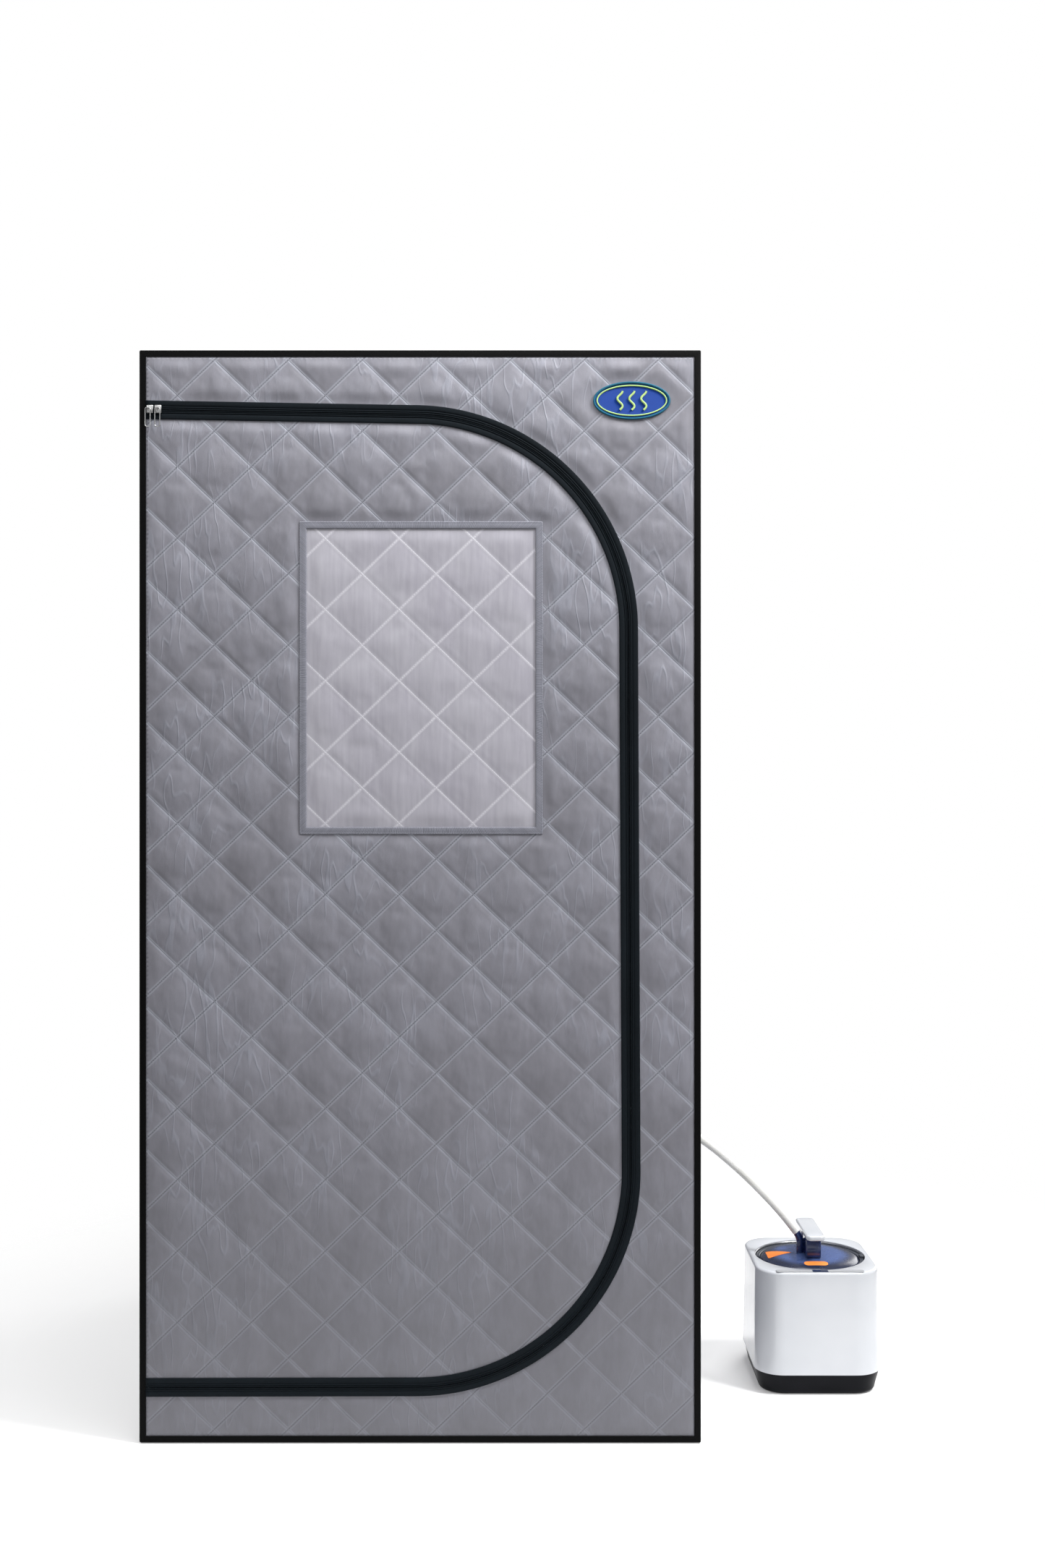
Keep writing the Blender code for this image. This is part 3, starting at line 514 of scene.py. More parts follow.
# %% Turn the heights into a table along the seams
def diagonal_table(cells, heights):
    side = sum(SHEET) + 2
    table = np.full((side, side), np.nan)
    table[cells.sum(axis=1), cells[:, 0] - cells[:, 1] + SHEET[1]] = heights
    known = np.nan_to_num(table)
    count = (~np.isnan(table)).astype(float)
    total = np.zeros_like(known)
    number = np.zeros_like(known)
    rows = np.arange(side) % STEPS == 0
    columns = (np.arange(side) - SHEET[1]) % STEPS == 0
    for axis, along_seam in ((0, rows[:, None]), (1, columns[None, :])):
        for shift in (-1, 1):
            part = 1.0 - along_seam
            total += np.roll(known, shift, axis) * part
            number += np.roll(count, shift, axis) * part
    between = total / np.maximum(number, 1)
    return np.where(np.isnan(table), between, table)


CUSHIONS = diagonal_table(cells, heights)


def puff(across, up):
    """How high the cushions stand at places on the cloth, which are in metres from a knot of the lattice."""
    u = np.asarray(across) / PITCH[0] * STEPS
    v = np.asarray(up) / PITCH[1] * STEPS
    p = np.clip(u + v, 0, CUSHIONS.shape[0] - 2)
    q = np.clip(u - v + SHEET[1], 0, CUSHIONS.shape[1] - 2)
    row, column = p.astype(int), q.astype(int)
    s, t = p - row, q - column
    low = CUSHIONS[row, column] * (1 - t) + CUSHIONS[row, column + 1] * t
    high = CUSHIONS[row + 1, column] * (1 - t) + CUSHIONS[row + 1, column + 1] * t
    return FULLNESS * (low * (1 - s) + high * s)


FULLNESS = 1.1      # the cloth settles a little flatter in the simulation than on the tent
print("table:", CUSHIONS.shape, "mean height", round(float(CUSHIONS.mean()) / MM, 2), "mm")

# %% [markdown]
# The cloth itself is grey satin. Its weave is far finer than the quilting, so it is only a bump. Beside each
# seam a pale band is painted on the tight shoulder as a painted highlight, each seam's groove gets painted shade,
# the wrinkles get a faint painted highlight, and the stitches of the rising seams show as dark dots between two
# shoulders. The shader finds all of them from the cloth's own coordinates, which were laid out flat before any
# cushion was raised. Near the floor the cloth is painted darker, as painted shade.

# %% The quilted cloth's finish
SEAM_SPACING = PITCH[0] * PITCH[1] / math.hypot(*PITCH)   # square distance between parallel seams
STITCH_LENGTH = 4.2 * MM
THREAD = 0.55 * MM                                        # one weave thread to the next


def near_whole(signal, scale):
    """Distance in metres to the nearest whole number of a signal that grows by one every `scale` metres."""
    nearest = signal.maths("ROUND")
    return (signal - nearest).maths("ABSOLUTE") * scale


def seam_signals(cloth):
    """Distances to the rising and falling seams, and the way along each, in metres."""
    across, up = cloth.part(X) / PITCH[0], cloth.part(Y) / PITCH[1]
    rising, falling = across - up, across + up
    along = math.hypot(*PITCH) / 2
    return (near_whole(rising, SEAM_SPACING), falling * along), (near_whole(falling, SEAM_SPACING), rising * along)


def stitches(distance, along):
    """1 on the threads of one seam."""
    place = (along / STITCH_LENGTH).maths("FRACT")
    thread = (place - 0.5).maths("ABSOLUTE").step(0.40, 0.30)
    return thread * distance.step(1.0 * MM, 0.5 * MM)


def quilt_finish(name="quilted_cloth", low=(0.200, 0.196, 0.224), high=(0.275, 0.275, 0.320)):
    paint = Finish(name, Specular_IOR_Level=0.55, Sheen_Weight=0.12, Sheen_Roughness=0.4)
    here, cloth = paint.place(), paint.cloth_place()
    (far_rising, along_rising), (far_falling, _) = seam_signals(cloth)
    threads = stitches(far_rising, along_rising)
    # the seams' grooves: a bump, and painted shade in the colour
    groove_and_painted_shade = far_rising.step(1.8 * MM, 0.3 * MM).maths("MAXIMUM", 0.5 * far_falling.step(1.2 * MM, 0.2 * MM))
    # the shoulders beside the seams: a painted highlight in the colour
    shoulder = (0.80 * far_rising.step(4.2 * MM, 2.4 * MM)).maths("MAXIMUM", far_falling.step(4.0 * MM, 1.6 * MM))
    cloudy = paint.grain(here, 7.0, 3.0)
    crumple = paint.grain(paint.stretched(cloth, (90, 30, 1), (0, 0, 0.25)), 1.0, 3.0, 0.55)
    bent = paint.grain(paint.stretched(cloth, (46, 11, 1), (0, 0, 0.2)), 1.0, 1.5, 0.4)
    # thin wrinkle streaks: a bump, and a painted highlight in the colour
    wrinkle_and_painted_highlight = (bent - 0.5).maths("ABSOLUTE").step(0.045, 0.0) * cloudy.step(0.42, 0.62)
    weave_x = (cloth.part(X) * (math.tau / THREAD)).maths("SINE")
    weave_y = (cloth.part(Y) * (math.tau / THREAD)).maths("SINE")
    tone = (0.60 * cloudy + 0.40 * crumple).step(0.25, 0.75)
    colour = paint.colour(tone, low, high)
    # painted highlight on the wrinkles
    colour = paint.colour(0.30 * wrinkle_and_painted_highlight, colour, (0.34, 0.36, 0.43))
    # painted highlight on the shoulders beside the seams
    colour = paint.colour(0.54 * shoulder, colour, (0.42, 0.44, 0.51))
    # painted shade in the seams' grooves
    colour = paint.colour(0.35 * groove_and_painted_shade, colour, (0.075, 0.073, 0.088))
    colour = paint.colour(0.55 * threads, colour, (0.10, 0.10, 0.12))
    # painted shade: the cloth's colour darkens towards the floor
    colour = paint.colour(0.60 * here.part(Z).step(0.75, 0.0), colour, (0.110, 0.110, 0.125))
    shine = 0.38 + 0.12 * crumple + 0.10 * groove_and_painted_shade
    height = 0.8 * crumple + 0.7 * wrinkle_and_painted_highlight - 0.9 * groove_and_painted_shade + 0.6 * threads + 0.06 * weave_x * weave_y
    return paint.feed(Base_Color=colour, Roughness=shine, Normal=paint.relief(height, 0.7 * MM, 0.8))


QUILT = quilt_finish()
QUILT_BACK = quilt_finish("quilted_lining", (0.14, 0.14, 0.16), (0.20, 0.20, 0.23))
print("finish:", QUILT.name)

# %% [markdown]
# A wall is cut from a sheet whose cells lie along the seams. The sheet is cut to its outline, raised by the
# cushions, and given its thickness. Where something is sewn over the cloth, such as the edge tape, the zip or
# the patch, the cushions die away, as they do where a real seam presses the wadding flat.

# %% Cut and raise a quilted wall
CLOTH_THICK = 2.4 * MM
FINE = 16            # mesh cells from one seam to the next
EDGE_FADE = 0.020    # the cushions' way down to a sewn edge


def diagonal_sheet(low, high, knot, fine):
    """A flat sheet whose cells run along the seams, cut to a rectangle with knots of the lattice at `knot`."""
    spread = sum((b - a) / p for a, b, p in zip(low, high, PITCH)) + 2
    count = 2 * math.ceil(spread / 2)
    form = bmesh.new()
    bmesh.ops.create_grid(form, x_segments=count * fine, y_segments=count * fine, size=count / 2)
    middle = [round(((a + b) / 2 - k) / p) for a, b, k, p in zip(low, high, knot, PITCH)]
    slant = Matrix(((PITCH[0] / 2, PITCH[0] / 2, 0, knot[0] + middle[0] * PITCH[0]),
                    (PITCH[1] / 2, -PITCH[1] / 2, 0, knot[1] + middle[1] * PITCH[1]),
                    (0, 0, 1, 0), (0, 0, 0, 1)))
    bmesh.ops.transform(form, matrix=slant, verts=form.verts)
    for axis, side, value in ((X, -1, low[0]), (X, 1, high[0]), (Y, -1, low[1]), (Y, 1, high[1])):
        trim(form, axis, value, side)
    return form


def trim(form, axis, value, side):
    """Cuts the sheet along a straight line, and drops what lies past it."""
    place, normal = [0, 0, 0], [0, 0, 0]
    place[axis], normal[axis] = value, side
    bmesh.ops.bisect_plane(form, geom=form.verts[:] + form.edges[:] + form.faces[:], dist=0.00001,
                           plane_co=place, plane_no=normal, clear_outer=True)


def cut_away(form, distance, reach=0.007):
    """Drops the faces where the distance is below 0, and draws the raw edge onto the line where it is 0."""
    middles = np.array([face.calc_center_median() for face in form.faces])
    gone = distance(middles[:, 0], middles[:, 1]) < 0
    faces = [face for face, drop in zip(form.faces, gone) if drop]
    bmesh.ops.delete(form, geom=faces, context="FACES")
    rim = [vertex for vertex in form.verts if vertex.is_boundary]
    places = np.array([vertex.co for vertex in rim])
    x, y, nudge = places[:, 0], places[:, 1], 0.0002
    here = distance(x, y)
    slope_x = (distance(x + nudge, y) - here) / nudge
    slope_y = (distance(x, y + nudge) - here) / nudge
    for vertex, d, a, b in zip(rim, here, slope_x, slope_y):
        if abs(d) < reach:
            vertex.co.x -= d * a
            vertex.co.y -= d * b


def smooth_rise(distance, width):
    t = np.clip(np.asarray(distance) / width, 0, 1)
    return t * t * (3 - 2 * t)


def raised_mesh(form, name, knot, stand, place):
    """The flat sheet, with its cloth coordinates kept, raised by `stand` and put in place by `place`."""
    form.verts.index_update()
    flat = np.array([v.co for v in form.verts])
    lift = stand(flat[:, 0], flat[:, 1])
    layer = form.loops.layers.uv.new(CLOTH_UV)
    for face in form.faces:
        for loop in face.loops:
            loop[layer].uv = (loop.vert.co.x - knot[0], loop.vert.co.y - knot[1])
    for vertex, height in zip(form.verts, lift):
        vertex.co = place(vertex.co.x, vertex.co.y, height)
    form.normal_update()
    outwards = Vector(place(0, 0, 1)) - Vector(place(0, 0, 0))
    if sum((face.normal for face in form.faces), Vector()).dot(outwards) < 0:
        bmesh.ops.reverse_faces(form, faces=form.faces)
    return loose_mesh(form, name)


def quilted(name, form, knot, stand, place, material, lining=None, thick=CLOTH_THICK):
    """A wall as a finished object, with its wadding's thickness behind the face."""
    item = piece_of(name, raised_mesh(form, name, knot, stand, place), material, 180)
    item.data.materials.append(lining or QUILT_BACK)
    solid = thickened(item, thick)
    solid.material_offset = 1
    solid.material_offset_rim = 1
    item = applied(item)
    item.data.shade_smooth()
    return item


def cushion_stand(knot, limits, others=(), shift=(1, 16)):
    """Cushion heights that fall to nothing at the wall's edges and under the pieces sewn over it.

    Shift says which diamond of the big sheet the wall's knot is, so that walls can differ."""
    (left, low), (right, high) = limits

    def stand(across, up):
        height = puff(across - knot[0] + shift[0] * PITCH[0], up - knot[1] + shift[1] * PITCH[1])
        for distance in (across - left, right - across, up - low, high - up):
            height = height * smooth_rise(distance, EDGE_FADE)
        for other in others:
            height = height * smooth_rise(other(across, up), EDGE_FADE)
        return height

    return stand


print("quilting helpers ready")

# %% [markdown]
# The zip runs in from the left edge near the top, round two big corners and back to the left edge near the
# floor, so the door is shaped like a letter D. Its line is needed twice: as a distance, to cut the cloth, and
# as a path, to lay the tapes. Both come from the same few numbers.

# %% The zip's line
ZIP_LEFT = -0.4393
ZIP_ENDS = (0.0895, 1.6555)      # heights at the left edge
ZIP_LEVELS = (0.0905, 1.6480)    # heights where the corners begin
ZIP_RIGHT = (0.3380, 0.3340)     # how far right the straight side stands, low and high
ZIP_RADIUS = 0.3440


def zip_distance(x, z):
    """How far outside the door a place on the front is. It is below 0 inside."""
    low_knee, high_knee = ZIP_LEVELS[0] + ZIP_RADIUS, ZIP_LEVELS[1] - ZIP_RADIUS
    rise = np.clip((z - low_knee) / (high_knee - low_knee), 0, 1)
    right = ZIP_RIGHT[0] + (ZIP_RIGHT[1] - ZIP_RIGHT[0]) * rise
    slip = np.clip((right - ZIP_RADIUS - x) / (right - ZIP_RADIUS - ZIP_LEFT), 0, None)
    top = ZIP_LEVELS[1] + (ZIP_ENDS[1] - ZIP_LEVELS[1]) * slip
    bottom = ZIP_LEVELS[0] + (ZIP_ENDS[0] - ZIP_LEVELS[0]) * slip
    past_x = x - (right - ZIP_RADIUS)
    past_z = np.maximum(z - (top - ZIP_RADIUS), bottom + ZIP_RADIUS - z)
    corner = np.hypot(np.maximum(past_x, 0), np.maximum(past_z, 0))
    return corner + np.minimum(np.maximum(past_x, past_z), 0) - ZIP_RADIUS


def zip_path():
    """The line as close points from the top left round to the bottom left."""
    points = [Vector((ZIP_LEFT, ZIP_ENDS[1]))]
    for right, level, start in ((ZIP_RIGHT[1], ZIP_LEVELS[1] - ZIP_RADIUS, 90),
                                (ZIP_RIGHT[0], ZIP_LEVELS[0] + ZIP_RADIUS, 0)):
        for turn in range(0, 91, 2):
            angle = math.radians(start - turn)
            points.append(Vector((right - ZIP_RADIUS + ZIP_RADIUS * math.cos(angle),
                                  level + ZIP_RADIUS * math.sin(angle))))
    points.append(Vector((ZIP_LEFT, ZIP_ENDS[0])))
    return points


ZIP_POINTS = zip_path()
ZIP_RUNS = np.concatenate(([0], np.cumsum([(b - a).length for a, b in zip(ZIP_POINTS, ZIP_POINTS[1:])])))
ZIP_LENGTH = float(ZIP_RUNS[-1])


def zip_place(along, out):
    """The place on the front that is so far along the zip, and so far out from its centre line."""
    x = np.interp(along, ZIP_RUNS, [p.x for p in ZIP_POINTS])
    z = np.interp(along, ZIP_RUNS, [p.y for p in ZIP_POINTS])
    step = 0.004
    before = np.interp([along - step, along + step], ZIP_RUNS, [p.x for p in ZIP_POINTS])
    after = np.interp([along - step, along + step], ZIP_RUNS, [p.y for p in ZIP_POINTS])
    way = Vector((before[1] - before[0], after[1] - after[0])).normalized()
    return Vector((x - way.y * out, z + way.x * out))


print("zip:", round(ZIP_LENGTH, 2), "m long")

# %% [markdown]
# The front wall and the door are cut from the same quilted sheet, so the seams run on across the zip. The
# door also has a window cut out of it, and behind that hangs a quilted flap.

# %% The front wall and the door
FRONT_KNOT = (-0.330, 1.735)
WALL_FACE = -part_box("front_panel")[LOW].y
WINDOW = ((-0.182, 0.987), (0.185, 1.465))
HEM_WIDTH = 0.011
TAPE_WIDTH = 0.015
BADGE_CENTRE, BADGE_SIZE = (0.339, 1.670), (0.124, 0.061)


def flat_box(node, axes=(X, Z)):
    """The two corners of a flat CAD piece along two axes."""
    return [tuple(corner[axis] for axis in axes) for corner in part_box(node)]


def box_distance(x, z, low, high):
    """How far outside a rectangle a place is. It is below 0 inside."""
    past_x = np.maximum(low[0] - x, x - high[0])
    past_z = np.maximum(low[1] - z, z - high[1])
    outside = np.hypot(np.maximum(past_x, 0), np.maximum(past_z, 0))
    return outside + np.minimum(np.maximum(past_x, past_z), 0)


def off_tape(x, z):
    return np.abs(zip_distance(x, z)) - TAPE_WIDTH


def off_hem(x, z):
    return box_distance(x, z, *WINDOW) - HEM_WIDTH


def off_badge(x, z):
    reach = np.hypot((x - BADGE_CENTRE[0]) / (BADGE_SIZE[0] / 2), (z - BADGE_CENTRE[1]) / (BADGE_SIZE[1] / 2))
    return (reach - 1) * BADGE_SIZE[1] / 2


def on_front(x, z, height):
    return (x, -WALL_FACE - height, z)


CLOTH_SPLIT = 0.002
WINDOW_LAP = 0.004       # the cloth's hole is this much larger than the window, under the hem
PANEL_LOW, PANEL_HIGH = flat_box("front_panel")
front_stand = cushion_stand(FRONT_KNOT, (PANEL_LOW, PANEL_HIGH), (off_tape, off_badge))
door_stand = cushion_stand(FRONT_KNOT, (PANEL_LOW, PANEL_HIGH), (off_tape, off_hem))

front_form = diagonal_sheet(PANEL_LOW, PANEL_HIGH, FRONT_KNOT, FINE)
door_form = front_form.copy()
cut_away(front_form, lambda x, z: zip_distance(x, z) - CLOTH_SPLIT)
cut_away(door_form, lambda x, z: -zip_distance(x, z) - CLOTH_SPLIT)
cut_away(door_form, lambda x, z: box_distance(x, z, *WINDOW) - WINDOW_LAP)
front_area = sum(face.calc_area() for face in front_form.faces)
door_area = sum(face.calc_area() for face in door_form.faces)

front_wall = dress(quilted("front_wall", front_form, FRONT_KNOT, front_stand, on_front, QUILT),
                   "root", "quilted_cloth", "front_panel")
door_cloth = quilted("door_cloth", door_form, FRONT_KNOT, door_stand, on_front, QUILT)
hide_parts("door_panel")
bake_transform(door_cloth)
print("front:", round(front_area, 2), "m2, door:", round(door_area, 2), "m2")
print("triangles:", [sum(len(f.vertices) - 2 for f in o.data.polygons) for o in (front_wall, door_cloth)])

# %% [markdown]
# The other walls and the roof are plain quilted rectangles. They use coarser cells than the front, because
# nothing is cut out of them but the hole for the hose.

# %% The other walls and the roof
WALL_FINE = 12
PORT = [sum(pair) / 2 for pair in zip(*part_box("hose_port"))]
PORT_REACH = 0.027       # the cushions die away at this distance from the port's middle
PORT_COVER = 0.013       # how far the port's rim covers the cloth's raw edge


def wall_sheet(name, node, axes, knot, place, shift, others=(), hole=None):
    low, high = flat_box(node, axes)
    form = diagonal_sheet(low, high, knot, WALL_FINE)
    if hole:
        cut_away(form, hole)
    area = sum(face.calc_area() for face in form.faces)
    stand = cushion_stand(knot, (low, high), others, shift)
    wall = dress(quilted(name, form, knot, stand, place, QUILT), "root", "quilted_cloth", node)
    flat = (high[0] - low[0], high[1] - low[1])
    return wall, flat, area


def off_port(y, z):
    return np.hypot(y - PORT[Y], z - PORT[Z]) - PORT_REACH


rear_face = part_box("rear_panel")[HIGH].y
left_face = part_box("left_panel")[LOW].x
right_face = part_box("right_panel")[HIGH].x
roof_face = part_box("roof_panel")[HIGH].z
walls = [
    wall_sheet("rear_wall", "rear_panel", (X, Z), (0.0, 1.735), lambda x, z, h: (x, rear_face + h, z), (4, 16)),
    wall_sheet("left_wall", "left_panel", (Y, Z), (0.02, 1.70), lambda y, z, h: (left_face - h, y, z), (4, 15)),
    wall_sheet("right_wall", "right_panel", (Y, Z), (-0.03, 1.72), lambda y, z, h: (right_face + h, y, z), (4, 15),
               (off_port,), lambda y, z: off_port(y, z) + PORT_COVER),
    wall_sheet("roof_cloth", "roof_panel", (X, Y), (0.0, 0.0), lambda x, y, h: (x, y, roof_face + h), (4, 9)),
]
for wall, flat, area in walls:
    print(wall.name, [round(side, 3) for side in flat], "m,", len(wall.data.polygons), "faces")

# %% [markdown]
# Each side of the zip is a black woven tape with a cord and a row of coil teeth along its inner edge. The
# tape is a long strip of cells laid along the zip's path, and its section is a small table of heights. The
# teeth are simple blocks, because there are more than a thousand on each side.

# %% Black woven tape's finish
def webbing_finish(name, dark, light, rib):
    """Woven tape: ribs across it in its own coordinates, and a slight fuzz."""
    paint = Finish(name, Specular_IOR_Level=0.10)
    cloth, here = paint.cloth_place(), paint.place()
    along = (cloth.part(X) * (math.tau / rib)).maths("SINE")
    across = (cloth.part(Y) * (math.tau / (0.8 * rib))).maths("SINE")
    weave = 0.5 + 0.5 * along * across
    fuzz = paint.grain(here, 420.0, 3.0)
    worn = paint.grain(here, 14.0, 3.0)
    tone = (0.45 * weave + 0.3 * fuzz + 0.25 * worn).step(0.2, 0.8)
    shine = 0.55 + 0.25 * fuzz
    return paint.feed(Base_Color=paint.colour(tone, dark, light), Roughness=shine,
                      Normal=paint.relief(weave + 0.5 * fuzz, 0.25 * MM, 0.7))


ZIP_CLOTH = webbing_finish("zip_tape", (0.0020, 0.0035, 0.0050), (0.0090, 0.0140, 0.0190), 1.1 * MM)
EDGE_CLOTH = webbing_finish("edge_tape", (0.0002, 0.0002, 0.0003), (0.0010, 0.0010, 0.0013), 1.3 * MM)

# %% [markdown]
# One tape is laid on each side of the zip's line, and the teeth are added to the same mesh. The front's
# tape stays with the tent.

# %% The zip's tapes
TAPE_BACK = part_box("front_zip_tape")[HIGH].y
TAPE_SECTION = (      # distance from the middle of the zip, and height above the cloth, in millimetres
    (0.4, 1.0), (0.5, 1.5), (2.3, 1.5), (2.7, 1.0), (3.1, 1.0), (3.5, 1.8), (4.2, 2.0), (4.9, 1.8),
    (5.3, 1.0), (6.0, 0.9), (6.5, 1.3), (7.2, 1.7), (9.5, 1.9), (12.5, 1.9), (14.2, 1.7), (14.8, 1.2), (15.0, 0.6),
)
TAPE_CELL = 0.006
TAPE_THICK = 0.5 * MM
TOOTH = (1.5 * MM, 2.0 * MM, 0.9 * MM)   # across the zip, the space each takes along it, and height
TEETH_START, TEETH_SPARE = 0.016, 0.020  # where the first one is, and how much of the zip has none
TEETH_PROUD = 1.75 * MM


def tape(side):
    """One tape. Side is 1 for the front's, outside the door, and -1 for the door's."""
    rows = len(TAPE_SECTION) - 1
    cells = int(ZIP_LENGTH / TAPE_CELL)
    form = bmesh.new()
    bmesh.ops.create_grid(form, x_segments=cells, y_segments=rows, size=0.5)
    layer = form.loops.layers.uv.new(CLOTH_UV)
    for face in form.faces:
        for loop in face.loops:
            row = round((loop.vert.co.y + 0.5) * rows)
            loop[layer].uv = ((loop.vert.co.x + 0.5) * ZIP_LENGTH, TAPE_SECTION[row][0] * MM)
    for vertex in form.verts:
        out, height = TAPE_SECTION[round((vertex.co.y + 0.5) * rows)]
        place = zip_place((vertex.co.x + 0.5) * ZIP_LENGTH, side * out * MM)
        vertex.co = (max(place.x, ZIP_LEFT), TAPE_BACK - height * MM, place.y)
    if side < 0:
        bmesh.ops.reverse_faces(form, faces=form.faces)
    return form


def add_teeth(form, side):
    for number in range(int((ZIP_LENGTH - TEETH_SPARE) / TOOTH[1])):
        along = TEETH_START + (number + 0.25 * (1 + side)) * TOOTH[1]
        place = zip_place(along, side * (0.6 * MM + TOOTH[0] / 2))
        way = zip_place(along + MM, 0) - zip_place(along - MM, 0)
        turn = Matrix.Rotation(-math.atan2(way.y, way.x), 4, "Y")
        size = Matrix.Diagonal((0.5 * TOOTH[1], TOOTH[2], TOOTH[0], 1))
        move = Matrix.Translation((place.x, TAPE_BACK - TEETH_PROUD, place.y))
        bmesh.ops.create_cube(form, size=1, matrix=move @ turn @ size)


def zip_side(name, side, node):
    form = tape(side)
    item = piece_of(name, loose_mesh(form, name), ZIP_CLOTH, 60)
    thickened(item, TAPE_THICK)
    item = applied(item)
    form = bmesh.new()
    form.from_mesh(item.data)
    add_teeth(form, side)
    form.to_mesh(item.data)
    form.free()
    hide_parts(node)
    return item


front_tape = zip_side("front_tape", 1, "front_zip_tape")
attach(front_tape, "root")
door_tape = zip_side("door_tape", -1, "door_zip_tape")
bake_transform(door_tape)
print("tapes:", len(front_tape.data.polygons), "and", len(door_tape.data.polygons), "faces")

# %% [markdown]
# Black tape binds all the tent's edges. It starts as a plain box. Each of its faces is inset by the tape's
# width and the middle is thrown away, which leaves a cage. Its long edges are rounded, as folded tape is.

# %% The edge tape
EDGE_WIDTH = 0.0105


def edge_tape():
    """The cage's long edges are rounded before its wall gets a thickness."""
    low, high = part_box("edge_binding")
    form = bmesh.new()
    bmesh.ops.create_cube(form, size=1)
    bmesh.ops.scale(form, vec=high - low, verts=form.verts)
    bmesh.ops.translate(form, vec=(low + high) / 2, verts=form.verts)
    folds = form.edges[:]
    inner = form.faces[:]
    bmesh.ops.inset_individual(form, faces=inner, thickness=EDGE_WIDTH, use_even_offset=True)
    bmesh.ops.delete(form, geom=inner, context="FACES_ONLY")
    round_edges(form, folds, 2.2 * MM, 4)
    layer = form.loops.layers.uv.new(CLOTH_UV)
    for face in form.faces:
        flat = max(range(3), key=lambda axis: abs(face.normal[axis]))
        across, up = [axis for axis in range(3) if axis != flat]
        for loop in face.loops:
            loop[layer].uv = (loop.vert.co[up], loop.vert.co[across])
    bmesh.ops.solidify(form, geom=form.faces[:], thickness=1.6 * MM)
    tape = piece_of("edge_tape", mesh_from(form, "edge_tape"), EDGE_CLOTH, 50)
    return dress(tape, "root", "edge_tape", "edge_binding")


edge = edge_tape()

# %% [markdown]
# The window is a milky film with the quilting pressed into it. It is cut and raised as the walls are. The hem
# around it is a strip sewn flat, and its tight stitches pucker it into fine ribs across its width.

# %% The window's film
FILM_THICK = 0.5 * MM
FLAP_THICK = 2.2 * MM
FILM_PUFF, FLAP_PUFF = 0.55, 0.30      # how much of a wall's cushions shows on the film and on the flap


def film_finish():
    paint = Finish("window_film", Specular_IOR_Level=0.5, Coat_Roughness=0.2, Coat_Weight=0.3)
    here, cloth = paint.place(), paint.cloth_place()
    (far_rising, along_rising), (far_falling, along_falling) = seam_signals(cloth)
    threads = stitches(far_rising, along_rising) + stitches(far_falling, along_falling)
    # pale lines on the film's creases: a painted highlight
    painted_crease_highlight = far_falling.step(3.0 * MM, 0.6 * MM).maths("MAXIMUM", 0.75 * far_rising.step(3.4 * MM, 1.2 * MM))
    cloudy = paint.grain(here, 9.0, 3.0)
    streak = paint.grain(paint.stretched(cloth, (150, 14, 1)), 1.0, 3.0)
    tone = (0.55 * cloudy + 0.45 * streak).step(0.25, 0.75)
    colour = paint.colour(tone, (0.41, 0.395, 0.455), (0.53, 0.52, 0.575))
    # painted highlight on the creases; the stitches add their pale thread colour
    colour = paint.colour(0.42 * painted_crease_highlight + 0.20 * threads, colour, (0.88, 0.87, 0.93))
    shine = 0.30 + 0.18 * cloudy
    height = 0.5 * streak + 0.7 * threads - 0.4 * far_rising.step(2.0 * MM, 0.3 * MM)
    clear = 0.94 - 0.10 * cloudy
    return paint.feed(Base_Color=colour, Roughness=shine, Alpha=clear, Normal=paint.relief(height, 0.4 * MM, 0.6))


def window_pieces():
    low, high = flat_box("window_film")
    form = diagonal_sheet(low, high, FRONT_KNOT, WALL_FINE)
    stand = cushion_stand(FRONT_KNOT, WINDOW)
    film_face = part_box("window_film")[LOW].y
    sheet = raised_mesh(form, "film", FRONT_KNOT, stand, lambda x, z, h: (x, film_face - FILM_PUFF * h, z))
    film = piece_of("film", sheet, film_finish(), 180)
    thickened(film, FILM_THICK)
    film = dress(applied(film), "door", "window_film", "window_film")

    low, high = flat_box("window_flap")
    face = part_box("window_flap")[LOW].y
    form = diagonal_sheet(low, high, FRONT_KNOT, WALL_FINE)
    stand = cushion_stand(FRONT_KNOT, (low, high))
    flap = quilted("flap", form, FRONT_KNOT, stand, lambda x, z, h: (x, face + CLOTH_THICK + FLAP_PUFF * h, z),
                   QUILT_BACK, thick=FLAP_THICK)
    dress(flap, "window_flap", "quilted_cloth", "window_flap")
    return film, flap


film, flap = window_pieces()
print("film and flap:", len(film.data.polygons), len(flap.data.polygons), "faces")

# %% [markdown]
# The hem is bent round the window as a strip of cells three to a pucker, and each cell row has its own place in
# a small section: flat over the cloth, pressed down by the outer row of stitches, and turned in at both edges.

# %% The window's hem
HEM_SECTION = (      # distance from the window, and height above the cloth, in millimetres
    (0.0, 0.0), (0.3, 1.0), (1.2, 1.25), (3.5, 1.35), (7.5, 1.35), (9.2, 1.0), (10.0, 1.3), (10.8, 1.0),
    (11.0, 0.0),
)
HEM_THICK = 0.25 * MM
HEM_SEAM = 9.4 * MM
PUCKER = 2.6 * MM


